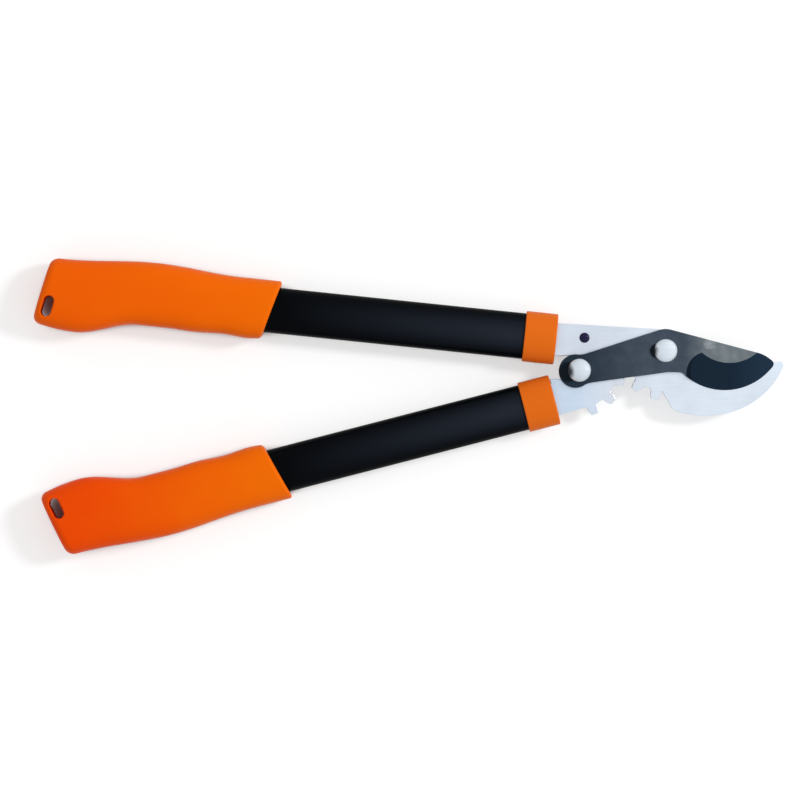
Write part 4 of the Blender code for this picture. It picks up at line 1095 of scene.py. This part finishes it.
def stop_line(lower):
    """The tang's inner edge, carried level to the first tooth; the gear plate's shoulder lies below it."""
    start = handle_point("upper", 0.0, -TANG_WIDTH / 2)
    end = np.array([-(HOOK_PITCH_RADIUS + ADDENDUM + STOP_EDGE_END), start[1]])
    return start - [0.0, lower], end - [0.0, lower]


def hook_outline():
    """Tang end, stop edge, the teeth a pitch angle apart, hook, jaw, throat, hub and back of the tang."""
    pitch = 2 * math.pi / HOOK_TEETH
    first = CENTRE_LINE - pitch / 2
    teeth = [tooth(HOOK_PITCH_RADIUS, first + pitch * i) for i in range(1, TEETH_CUT)]
    back_corner = handle_point("upper", 0.0, TANG_WIDTH / 2)
    back_touch = touch_angle(MAIN_PIVOT, HOOK_HUB_RADIUS, back_corner, -1)
    parts = [handle_point("upper", TANG_DEPTH, -TANG_WIDTH / 2)[None], np.array(stop_line(0.0))]
    parts += [tooth_side(HOOK_PITCH_RADIUS, first, 1)[::-1], *teeth]
    parts += [hook_back(first + pitch * (TEETH_CUT - 1)), jaw()]
    parts.append(arc(MAIN_PIVOT, HOOK_HUB_RADIUS, throat_angle() + THROAT_TURN, back_touch, count=30))
    parts += [back_corner[None], handle_point("upper", TANG_DEPTH, TANG_WIDTH / 2)[None]]
    return np.concatenate(parts)


print("the hook plate's outline has", len(hook_outline()), "points")

# %% [markdown]
# ### The gear plate
# It is the lower handle's tang with a sector of teeth round the rear pivot. Its shoulder comes to rest
# below the hook plate's inner edge when the tool is shut, so it takes its height from that edge. A number
# of its own would do until the edge moves.

# %% Gear plate
REAR_HUB_RADIUS, REAR_HUB_START, REAR_HUB_END = 7.8 * MM, math.radians(72), math.radians(196)
STOP_SHOULDER_END, TANG_SHOULDER, STOP_GAP = 4.5 * MM, 12.8 * MM, 0.3 * MM
WAIST_RUN, WAIST_TURN = 5.8 * MM, math.radians(20)


def gear_outline():
    """Tang end, the teeth a pitch angle apart, stop shoulder, hub, waist and the tang's inner side."""
    pitch = 2 * math.pi / HANDLE_TEETH
    facing = CENTRE_LINE - math.pi
    teeth = [REAR_PIVOT + tooth(HANDLE_PITCH_RADIUS, facing - pitch * i) for i in reversed(range(TEETH_CUT))]
    stop_end = stop_line(STOP_GAP)[1]
    shoulder = np.array([stop_end, [REAR_PIVOT[0] + STOP_SHOULDER_END, stop_end[1]]])
    hub = arc(REAR_PIVOT, REAR_HUB_RADIUS, REAR_HUB_START, REAR_HUB_END, count=40)
    inner_corner = handle_point("lower", -GAP, -TANG_SHOULDER)
    waist = inner_corner + [WAIST_RUN, 0.0]
    waist_corner = polar(REAR_HUB_RADIUS / math.cos(WAIST_TURN), REAR_HUB_END + WAIST_TURN, REAR_PIVOT)
    tang_end = handle_point("lower", TANG_DEPTH, np.array([1.0, -1.0]) * TANG_WIDTH / 2)
    tang_front = handle_point("lower", np.array([0.0, -GAP]), np.array([1.0, -1.0]) * TANG_WIDTH / 2)
    parts = [tang_end[:1], tang_front[:1], *teeth, shoulder, hub, bend(hub[-1], waist_corner, waist)[1:]]
    return np.concatenate([*parts, inner_corner[None], tang_front[1:], tang_end[1:]])


print("the gear plate's outline has", len(gear_outline()), "points")

# %% [markdown]
# ### Steel from an outline
# Tumbling rounds the rim of a stamped plate. Here a filled flat curve gives the outline with its holes,
# and the curve's own bevel rounds the rim. A mesh with a bevel modifier does the same, but the shortest
# edge, in the root of a tooth, would limit its rounding. The faces that look sideways get a finish of
# their own.

# %% Flat plates with a rounded rim
PLATE_RIM, SIDEWAYS = 0.4 * MM, 0.3


def circle(centre, radius, count=96):
    """Points at the same distance from the centre, at even angles."""
    return polar(radius, round_angles(count, 0.0), centre)


def plate_mesh(name, loops, low, high, rim):
    """A filled flat curve with its holes, made as thick as the plate less its rim, and rounded by a bevel."""
    curve = bpy.data.curves.new(name, "CURVE")
    curve.dimensions = "2D"
    curve.fill_mode = "BOTH"
    curve.extrude = (high - low) / 2 - rim
    curve.bevel_depth = rim
    curve.bevel_resolution = 2
    curve.offset = -rim
    for loop in loops:
        spline = curve.splines.new("POLY")
        spline.points.add(len(loop) - 1)
        flat = np.concatenate([loop, np.zeros((len(loop), 1)), np.ones((len(loop), 1))], axis=1)
        spline.points.foreach_set("co", flat.ravel())
        spline.use_cyclic_u = True
    guide = add_object(name, curve)
    guide.location.z = (low + high) / 2
    bpy.context.view_layer.update()
    mesh = bpy.data.meshes.new_from_object(guide.evaluated_get(bpy.context.evaluated_depsgraph_get()))
    mesh.transform(guide.matrix_world)
    bpy.data.objects.remove(guide)
    mesh.name = name
    return mesh


def of_faces(mesh, name):
    """Three numbers for each face, such as its normal or its centre."""
    values = np.empty(len(mesh.polygons) * 3)
    mesh.polygons.foreach_get(name, values)
    return values.reshape(-1, 3)


def side_faces(mesh):
    """True for each face whose normal hardly rises or falls."""
    return np.abs(of_faces(mesh, "normal")[:, 2]) < SIDEWAYS


print("a rim of", PLATE_RIM / MM, "mm goes round each plate")


# %% Make the plates
def make_plate(name, outline, holes, finish, body, node):
    """The outline with its holes; the faces that look sideways are stamped."""
    loops = [outline, *(circle(*hole)[::-1] for hole in holes)]
    mesh = plate_mesh(name, loops, PLATE_LOW, PLATE_HIGH, PLATE_RIM)
    finish_mesh(mesh)
    piece = add_object(name, mesh)
    finish_piece(piece, body, node, "pale_plate", finish, STAMPED_SIDE)
    mesh.polygons.foreach_set("material_index", side_faces(mesh).astype(np.int32))
    even_flats(piece)


hook_holes = ((MAIN_PIVOT, HOLE_RADIUS), (RIVET_PLACE, RIVET_HOLE, 48))
make_plate("hook_steel", hook_outline(), hook_holes, PALE_HOOK, "upper_handle", "hook_plate")
gear_holes = ((REAR_PIVOT, HOLE_RADIUS),)
make_plate("gear_steel", gear_outline(), gear_holes, PALE_GEAR, "lower_handle", "gear_plate")

# %% [markdown]
# ## Blade
# The blade and its lever tail are one forging. Its belly shares its circle with the hook's jaw, so that the
# two pass each other closely, and the tail is a disc that blends into the lever. The outline is made of the
# same arcs and curves as the plates', because a blade that is drawn alone would drift off the jaw.

# %% Belly and tip
BLADE_HUB_RADIUS, TAIL_NECK_RADIUS, TAIL_RADIUS, TAIL_OVERHANG = 13.2 * MM, 8.2 * MM, 10.2 * MM, 2.4 * MM
TAIL_BLEND_TURN, TAIL_BLEND_RUN = math.radians(16), 4.0 * MM
SPINE_SLOPE, SPINE_END_X, SPINE_END_ROUNDING = math.radians(-14.9), 60.1 * MM, 4.0 * MM
TIP_ROUNDING, HEEL_FLAT, HEEL_TURN = 3.0 * MM, 2.5 * MM, math.radians(3)
BUSH_HOLE = 5.6 * MM


def belly_and_tip():
    """The heel under the hub, the belly's arc, the rounded tip, and the corner where the spine begins."""
    drop = BELLY_CENTRE[1] + BLADE_HUB_RADIUS
    heel = np.array([BELLY_CENTRE[0] - math.sqrt(BELLY_RADIUS**2 - drop**2), -BLADE_HUB_RADIUS])
    start = heading(heel - BELLY_CENTRE) + HEEL_TURN
    belly = arc(BELLY_CENTRE, BELLY_RADIUS, start, BELLY_TIP_ANGLE - TIP_ROUNDING / BELLY_RADIUS, count=110)
    heel_round = bend(heel - [HEEL_FLAT, 0.0], heel, belly[0])
    touch = polar(BLADE_HUB_RADIUS, SPINE_SLOPE + math.pi / 2)
    spine_end = touch + polar((SPINE_END_X - touch[0]) / math.cos(SPINE_SLOPE), SPINE_SLOPE)
    tip = polar(BELLY_RADIUS, BELLY_TIP_ANGLE, BELLY_CENTRE)
    tip_round = bend(belly[-1], tip, tip + unit(spine_end - tip) * TIP_ROUNDING, count=12)
    spine_round = rounded(tip, spine_end, touch, SPINE_END_ROUNDING, count=12)
    return np.concatenate([heel_round[:-1], belly[:-1], tip_round, spine_round])


print("the belly and the tip have", len(belly_and_tip()), "points")


# %% Tail and the whole outline
def blade_outline():
    """The tail's neck and the hub are circles, joined by lines that touch both; the disc lies on the neck.

    A line touches at the arc cosine of the radii's difference over the distance, from the line of centres.
    """
    tail = polar(CENTRE_DISTANCE + TAIL_OVERHANG, CENTRE_LINE)
    spread = math.acos((BLADE_HUB_RADIUS - TAIL_NECK_RADIUS) / np.linalg.norm(tail))
    under, over = (heading(tail) + spread) % (2 * math.pi), (heading(tail) - spread) % (2 * math.pi)
    neck = math.acos(TAIL_NECK_RADIUS / TAIL_RADIUS)
    disc = arc(tail, TAIL_RADIUS, over - neck + TAIL_BLEND_TURN, under + neck - TAIL_BLEND_TURN, count=90)
    under_corner, over_corner = polar(TAIL_RADIUS, under + neck, tail), polar(TAIL_RADIUS, over - neck, tail)
    under_touch, over_touch = polar(BLADE_HUB_RADIUS, under), polar(BLADE_HUB_RADIUS, over)
    under_next = under_corner + unit(under_touch - under_corner) * TAIL_BLEND_RUN
    over_next = over_corner + unit(over_touch - over_corner) * TAIL_BLEND_RUN
    hub = arc(MAIN_PIVOT, BLADE_HUB_RADIUS, SPINE_SLOPE + math.pi / 2, over, count=26)
    parts = [disc, bend(disc[-1], under_corner, under_next)[1:], under_touch[None], belly_and_tip(), hub]
    return np.concatenate([*parts, bend(over_next, over_corner, disc[0])[:-1]])


print("the blade's outline has", len(blade_outline()), "points")

# %% [markdown]
# ### Cutters
# A cone and a box cut the blade. Each row of the cone is a circle with a radius, a height and a centre of
# its own, which a cone from Blender's menu doesn't offer, and the turned pieces further down need the same
# rows. The box could be a scaled cube, but corners that are given outright need no scale.

# %% Circles, cones and boxes
def circles(radius, up, centre, count=96):
    """Rows of points round upright axes, each row or point with its own radius and height."""
    flat = polar(radius, round_angles(count, 0.0), centre)
    up = np.broadcast_to(up, flat.shape[:2])
    return np.concatenate([flat, up[..., None]], axis=-1)


def cone(name, centres, radii, levels, count):
    """Circles of these centres, radii and levels, joined, and closed by a pole at each end."""
    rows = circles(np.array(radii)[:, None], np.array(levels)[:, None], np.array(centres)[:, None], count)
    poles = [np.broadcast_to(rows[i].mean(0), rows[i].shape) for i in (0, -1)]
    return surface(name, np.concatenate([poles[:1], rows, poles[1:]]))


def box_solid(name, lowest, highest):
    """A cube whose corners are moved to the lowest or the highest value on each axis."""
    shape = bmesh.new()
    bmesh.ops.create_cube(shape, size=1.0)
    for vert in shape.verts:
        vert.co = [low if co < 0 else high for co, low, high in zip(vert.co, lowest, highest)]
    mesh = bpy.data.meshes.new(name)
    shape.to_mesh(mesh)
    shape.free()
    return add_object(name, mesh)


print("a row of circles has", circles(np.ones((1, 1)), 0.0, MAIN_PIVOT).shape[1], "points")

# %% [markdown]
# ### The grinder's path
# A wheel has taken the wide bevel off the upper face, down to the cutting edge beside the hook. Its path is
# a cone whose circles slide from the edge to the boundary of the flat, and it left the steel in a round
# run-out beside the hub. A bevel that follows the outline would keep its width, and this one doesn't. So
# what the wheel takes away is built as a solid: a zone round the belly, less the cone that stays.

# %% What the wheel takes away
RUN_OUT_CENTRE, RUN_OUT_RADIUS, RUN_OUT_RUN = np.array([25.9, -14.0]) * MM, 13.4 * MM, 3.8 * MM
RUN_OUT_SLOPE = RUN_OUT_RUN / (BLADE_HIGH - BLADE_LOW)
EDGE_HEIGHT = BLADE_LOW + 0.4 * MM
PAST, ZONE_INSET = 4.0 * MM, 0.2 * MM


def at_height(low_value, high_value, z):
    """The straight line through a value at the edge's height and another at the blade's top."""
    share = (z - EDGE_HEIGHT) / (BLADE_HIGH - EDGE_HEIGHT)
    return low_value + (high_value - low_value) * share


def grind_waste():
    """All that lies outside the grinder's cone, in a zone that runs from the run-out past the tip."""
    low, high = EDGE_HEIGHT - 2 * PAST, BLADE_HIGH + PAST
    keep = cone(
        "grind_cone",
        [at_height(BELLY_CENTRE, GRIND_CENTRE, low), at_height(BELLY_CENTRE, GRIND_CENTRE, high)],
        [at_height(BELLY_RADIUS, GRIND_RADIUS, low), at_height(BELLY_RADIUS, GRIND_RADIUS, high)],
        [low, high],
        360,
    )
    bottom = BLADE_LOW - PAST
    run_out = cone(
        "run_out",
        [RUN_OUT_CENTRE, RUN_OUT_CENTRE],
        [RUN_OUT_RADIUS - RUN_OUT_SLOPE * (BLADE_HIGH - bottom), RUN_OUT_RADIUS + RUN_OUT_SLOPE * PAST],
        [bottom, high],
        180,
    )
    corner = BELLY_CENTRE + [BELLY_RADIUS + 2 * PAST, -BELLY_RADIUS - 2 * PAST]
    lowest = np.array([RUN_OUT_CENTRE[0], corner[1], bottom + ZONE_INSET])
    highest = np.array([corner[0], BLADE_HUB_RADIUS + PAST, high - ZONE_INSET])
    zone = combined(box_solid("grind_zone", lowest, highest), "UNION", run_out)
    return combined(zone, "DIFFERENCE", keep)


print("the run-out's wall leans by", round(math.degrees(math.atan(RUN_OUT_SLOPE))), "degrees")

# %% [markdown]
# ### The ground blade
# The blade is cut out with its rim rounded on both faces, and then a box takes its flat underside and the
# wheel takes its bevel. Which face gets which finish is measured and not picked by hand: a face whose
# middle lies on the cone or on the run-out's wall is ground, and of the rest those that look sideways
# are sides.

# %% Make the blade
BLADE_RIM, BEVEL_SHARP = 0.3 * MM, math.radians(5)
ON_SURFACE, OFF_FLAT = 0.05 * MM, 0.01 * MM


def ground_faces(mesh):
    """True for each face whose middle lies on the grinder's cone or on the run-out's wall."""
    flat, z = np.split(of_faces(mesh, "center"), [2], axis=1)
    centre, level = at_height(BELLY_CENTRE, GRIND_CENTRE, z), z[:, 0]
    off_cone = np.linalg.norm(flat - centre, axis=1) - at_height(BELLY_RADIUS, GRIND_RADIUS, level)
    wall_radius = RUN_OUT_RADIUS - RUN_OUT_SLOPE * (BLADE_HIGH - level)
    off_wall = np.linalg.norm(flat - RUN_OUT_CENTRE, axis=1) - wall_radius
    between = (level < BLADE_HIGH - OFF_FLAT) & (level > BLADE_LOW + OFF_FLAT)
    return between & ((np.abs(off_cone) < ON_SURFACE) | (np.abs(off_wall) < ON_SURFACE))


def make_blade():
    """The outline cut a rim too deep, less what lies below its underside and what the wheel takes."""
    loops = [blade_outline(), circle(MAIN_PIVOT, BUSH_HOLE)[::-1], circle(REAR_PIVOT, BUSH_HOLE)[::-1]]
    mesh = plate_mesh("blade_steel", loops, BLADE_LOW - 2 * BLADE_RIM, BLADE_HIGH, BLADE_RIM)
    finish_mesh(mesh)
    blade = add_object("blade_steel", mesh)
    below = box_solid("below", [-1.0, -1.0, BLADE_LOW - PAST], [1.0, 1.0, BLADE_LOW])
    combined(blade, "DIFFERENCE", below, grind_waste())
    finish_mesh(blade.data, BEVEL_SHARP)
    finish_piece(blade, "blade_lever", "blade", "dark_blade", DARK_FLAT, DARK_BEVEL, DARK_SIDE)
    ground = ground_faces(blade.data)
    finishes = np.where(ground, 1, np.where(side_faces(blade.data), 2, 0))
    blade.data.polygons.foreach_set("material_index", finishes.astype(np.int32))
    print(int(ground.sum()), "of its faces are ground")


make_blade()

# %% [markdown]
# ## Pivots
# Each pivot is a bolt with a low domed head, a bronze bush in the blade, a washer, and a lock nut below
# with a nylon ring. All are turned: a profile of radius and height goes round the pivot's axis. Cylinders
# joined by a Boolean would do for the shank, but not for the dome, and a profile gives every edge its
# chamfer at once.

# %% Turned pieces
def turned(name, centre, profile, closed=False, count=96):
    """Every point of the profile goes round the centre: radius times (cosine, sine), at its own height."""
    radius, up = np.asarray(profile, float).T[..., None]
    return surface(name, circles(radius, up, centre, count), closed_along=closed)


def ring_profile(outer, low, high, edge):
    """A rectangle from the hole's radius outwards, with its four corners cut by a small edge."""
    inner = HOLE_RADIUS
    return [
        (inner + edge, high), (outer - edge, high), (outer, high - edge), (outer, low + edge),
        (outer - edge, low), (inner + edge, low), (inner, low + edge), (inner, high - edge),
    ]


HEAD_RADIUS, HEAD_RIM, HEAD_FULLNESS = 7.0 * MM, 1.2 * MM, 2.4
HEAD_EDGE, SHANK_RADIUS, END_CHAMFER = 0.2 * MM, 4.0 * MM, 0.7 * MM


def bolt_profile(node):
    """Dome, rim, underside, shank and chamfered end, between the heights of the node's box.

    The dome is a superellipse: its radius times the sine, and its height times the cosine, to the power
    2 / fullness.
    """
    low, high = heights(node)
    head_low = BLADE_HIGH + GAP
    turn = quarter_angles(count=24)
    dome = high - head_low - HEAD_RIM
    sine, cosine = (signed_power(wave(turn), 2 / HEAD_FULLNESS) for wave in (np.sin, np.cos))
    top = np.stack([HEAD_RADIUS * sine, high - dome * (1 - cosine)], axis=-1)
    rest = [
        (HEAD_RADIUS, head_low + HEAD_EDGE), (HEAD_RADIUS - HEAD_EDGE, head_low), (SHANK_RADIUS, head_low),
        (SHANK_RADIUS, low + END_CHAMFER), (SHANK_RADIUS - END_CHAMFER, low), (0.0, low),
    ]
    return np.concatenate([top, rest])


for node in ("pivot_bolt", "rear_bolt"):
    print(node, "has a profile of", len(bolt_profile(node)), "points")

# %% [markdown]
# ### Lock nuts
# A lock nut is a hexagon over a round collar that holds the nylon ring. Its six flats are a hexagon's radius
# at each angle, so the nut is a grid like the rest. Its corners are bevelled by a cone: the further a point
# stands out, the lower the cone meets it, which leaves the curves that a real nut has. A cylinder of six
# sides would have flat corners.

# %% Nut
NUT_FLATS, NUT_HEX_HEIGHT, NUT_COLLAR_RADIUS = 13.0 * MM, 5.2 * MM, 5.8 * MM
SEAT_RADIUS, SEAT_HEIGHT, COLLAR_EDGE, CORNER_SLOPE = 5.4 * MM, 2.6 * MM, 0.3 * MM, 0.6
NUT_SHARP = math.radians(20)


def nut_points(centre, low, high, count=120):
    """Rows round the nut; the hexagon's radius is its half width over the cosine of the angle to a flat."""
    angle = round_angles(count, 0.0)
    half, hex_low, flat = NUT_FLATS / 2, high - NUT_HEX_HEIGHT, np.ones(count)
    hexagon = half / np.cos((angle + np.pi / 6) % (np.pi / 3) - np.pi / 6)
    corner_drop = CORNER_SLOPE * (hexagon - half)
    rows = [
        (HOLE_RADIUS, high), (half, high), (hexagon, high - corner_drop), (hexagon, hex_low + corner_drop),
        (half, hex_low), (NUT_COLLAR_RADIUS, hex_low), (NUT_COLLAR_RADIUS, low + COLLAR_EDGE),
        (NUT_COLLAR_RADIUS - COLLAR_EDGE, low), (SEAT_RADIUS, low), (SEAT_RADIUS, low + SEAT_HEIGHT),
        (HOLE_RADIUS, low + SEAT_HEIGHT),
    ]
    radius, up = (np.array([value * flat for value in part]) for part in zip(*rows))
    return circles(radius, up, centre, count)


reach = np.linalg.norm(nut_points(MAIN_PIVOT, 0.0, 0.0)[..., :2] - MAIN_PIVOT, axis=-1).max() / MM
print("a nut's corners reach", reach.round(2), "mm from its axis")

# %% [markdown]
# ### Both pivots
# The main pivot's bolt sits in the upper handle, and the rear one's in the blade's tail. The bushes are
# pressed into the blade at both. Which body a piece rides on decides what turns with what, so it is given
# piece by piece, and the same function makes both pivots.

# %% Make the pivots
RINGS = (
    ("_washer", 8.0 * MM, 0.15 * MM, ZINC, "zinc"),
    ("_nut_ring", 5.1 * MM, 0.1 * MM, WHITE_NYLON, "white_nylon"),
    ("_bush", 5.3 * MM, 0.1 * MM, BRONZE, "bronze"),
)


def make_pivot(name, centre, bolt_body):
    """A bolt, its rings and its nut; only the bush always rides on the blade."""
    bolt = turned(name + "_head_bolt", centre, bolt_profile(name + "_bolt"))
    finish_piece(bolt, bolt_body, name + "_bolt", "zinc", ZINC)
    for suffix, outer, edge, finish, slot in RINGS:
        profile = ring_profile(outer, *heights(name + suffix), edge)
        ring = turned(name + suffix + "_turned", centre, profile, closed=True)
        body = "blade_lever" if suffix == "_bush" else bolt_body
        finish_piece(ring, body, name + suffix, slot, finish)
    points = nut_points(centre, *heights(name + "_nut"))
    nut = surface(name + "_lock_nut", points, closed_along=True, sharp=NUT_SHARP)
    finish_piece(nut, bolt_body, name + "_nut", "zinc", ZINC)


make_pivot("pivot", MAIN_PIVOT, "upper_handle")
make_pivot("rear", REAR_PIVOT, "blade_lever")

# %% [markdown]
# ## The rivet and the hidden pieces
# A small black rivet sits in the hook plate: a domed head above, a flat one below, and a thinner shank. It
# is turned like the bolts. The plugs and the cross pins inside the tubes are never seen, so making them
# again would add faces and no likeness. Their solids stay, with a finish for the export.

# %% Rivet
RIVET_HEAD, RIVET_SHANK, RIVET_EDGE = 3.1 * MM, 2.3 * MM, 0.2 * MM


def rivet_profile():
    """The dome is a quarter ellipse, radius times the sine and height times the cosine."""
    low, high = heights("plate_rivet")
    top, bottom, turn = PLATE_HIGH + GAP, PLATE_LOW - GAP, quarter_angles(count=14)
    dome = np.stack([RIVET_HEAD * np.sin(turn), top + (high - top) * np.cos(turn)], axis=-1)
    foot = [(RIVET_HEAD, bottom), (RIVET_HEAD - RIVET_EDGE, low), (0.0, low)]
    return np.concatenate([dome, [(RIVET_SHANK, top), (RIVET_SHANK, bottom), *foot]])


rivet = turned("black_plate_rivet", RIVET_PLACE, rivet_profile(), count=48)
finish_piece(rivet, "upper_handle", "plate_rivet", "black_rivet", BLACK_RIVET)

# %% Hidden solids
for side in AXIS:
    for part, finish in (("tang_insert", BLACK_NYLON), ("tang_pin", ZINC)):
        solid = frame["nodes"][f"{side}_{part}"]
        solid.data.materials.clear()
        solid.data.materials.append(finish)
        print(solid.name, "keeps its solid, with", finish.name)

# %% [markdown]
# ## Floor and world
# The photograph is a cut-out on white, lit softly with the main light from the right. The world and the floor
# show white to the camera and in reflections. The floor still takes the shadow, because the white that is
# added for the camera only fills what the lamps leave out. It fades where the floor is closed in, as under
# the tubes and at the bottom of a hang slot, so that those places stay as dark as they are. A floor that
# shines by itself everywhere would be simpler, but it would hide the shadow.

# %% Who sees the white
WHITE = (1.0, 1.0, 1.0, 1.0)


def seen(owner):
    """1 where a camera, glossy or transmitted ray looks, and 0 where light is gathered."""
    path = add_node(owner, "LightPath").outputs
    looks = path["Is Camera Ray"]
    for name in ("Is Glossy Ray", "Is Transmission Ray"):
        looks = calculate(owner, "MAXIMUM", looks, path[name])
    return looks


print("camera, glossy and transmitted rays see", WHITE[:3])

# %% Floor
FLOOR_HALF, FLOOR_DROP = 12.0, 0.02 * MM
FLOOR_COLOUR, FLOOR_FILL = (0.55, 0.55, 0.55), 0.52
CLOSED_IN, OPEN_AIR, OPEN_AIR_REACH = 0.46, 0.60, 12.0 * MM


def floor_finish():
    """White light for the camera, by how much open air an ambient occlusion node finds above."""
    material, shader = new_finish("floor_white", FLOOR_COLOUR, roughness=0.9, specular=0.0)
    shader.inputs["Emission Color"].default_value = WHITE
    sky = add_node(material, "AmbientOcclusion", {"Distance": OPEN_AIR_REACH}, samples=20).outputs["AO"]
    share = ramp(material, sky, CLOSED_IN, OPEN_AIR, 0.0, FLOOR_FILL)
    fill = calculate(material, "MULTIPLY", share, seen(material))
    link(material, fill, shader.inputs["Emission Strength"])
    return material


floor_corners = np.array([(-1, -1), (1, -1), (1, 1), (-1, 1)]) * FLOOR_HALF
floor_mesh = bpy.data.meshes.new("floor")
floor_mesh.from_pydata([(x, y, -FLOOR_DROP) for x, y in floor_corners], [], [(0, 1, 2, 3)])
floor_mesh.materials.append(floor_finish())
add_object("floor", floor_mesh)
print("the floor is", 2 * FLOOR_HALF, "m wide")

# %% World
WORLD_LIGHT = 0.66


def make_world():
    """Soft light for what is lit, and plain white for what looks."""
    world = bpy.data.worlds.new("studio")
    world.use_nodes = True
    bpy.context.scene.world = world
    nodes = world.node_tree.nodes
    soft = nodes["Background"]
    soft.inputs["Strength"].default_value = WORLD_LIGHT
    soft.inputs["Color"].default_value = WHITE
    white = add_node(world, "Background", {"Color": WHITE})
    mix = add_node(world, "MixShader", {"Fac": seen(world), 1: soft.outputs[0], 2: white.outputs[0]})
    link(world, mix.outputs[0], nodes["World Output"].inputs["Surface"])


make_world()
print("the world lights with a strength of", WORLD_LIGHT)

# %% [markdown]
# ## Lamp
# The photograph's main light is large and comes from the right: the bolt heads and the grips are brighter
# on that side. A sun would do, but a disc of some size at some distance gives the soft edge that the shadow
# has. The world's light fills the rest.

# %% The key light
KEY_PLACE, KEY_SIZE, KEY_POWER = Vector((1.9, 0.7, 1.9)), 0.6, 42.0
TOOL_MIDDLE = (CAD_BOX[0] + CAD_BOX[1]) / 2
lamp = bpy.data.lights.new("key_from_the_right", "AREA")
lamp.shape = "DISK"
lamp.size = KEY_SIZE
lamp.energy = KEY_POWER
key = add_object("key_from_the_right", lamp)
key.location = KEY_PLACE
key.rotation_euler = (TOOL_MIDDLE - KEY_PLACE).to_track_quat("-Z", "Y").to_euler()
print("the lamp stands", round((KEY_PLACE - TOOL_MIDDLE).length, 2), "m away")

# %% [markdown]
# ## Camera
# The photograph looks straight down. Its scale is 0.611 mm a pixel, and the main pivot lies at a known pixel.
# The camera could be moved until the two pictures match, but the scale and that pixel give its place
# outright. A long lens far away keeps the tool's height from showing as a lean.

# %% The photograph's view
PIXEL, SIDE, PIVOT_PIXEL = 0.611 * MM, 800, (665.2, 350.7)
LENS, SENSOR = 250.0, 36.0
camera_data = bpy.data.cameras.new("camera")
camera_data.lens = LENS
camera_data.sensor_width = SENSOR
camera_data.clip_end = 100.0
camera = add_object("camera", camera_data)
centre_x = (SIDE / 2 - PIVOT_PIXEL[0]) * PIXEL
centre_y = (PIVOT_PIXEL[1] - SIDE / 2) * PIXEL
camera.location = (centre_x, centre_y, MIDDLE + SIDE * PIXEL * LENS / SENSOR)
bpy.context.scene.camera = camera
bpy.context.scene.view_settings.view_transform = "Standard"
print("camera", [round(v, 3) for v in camera.location], "m")
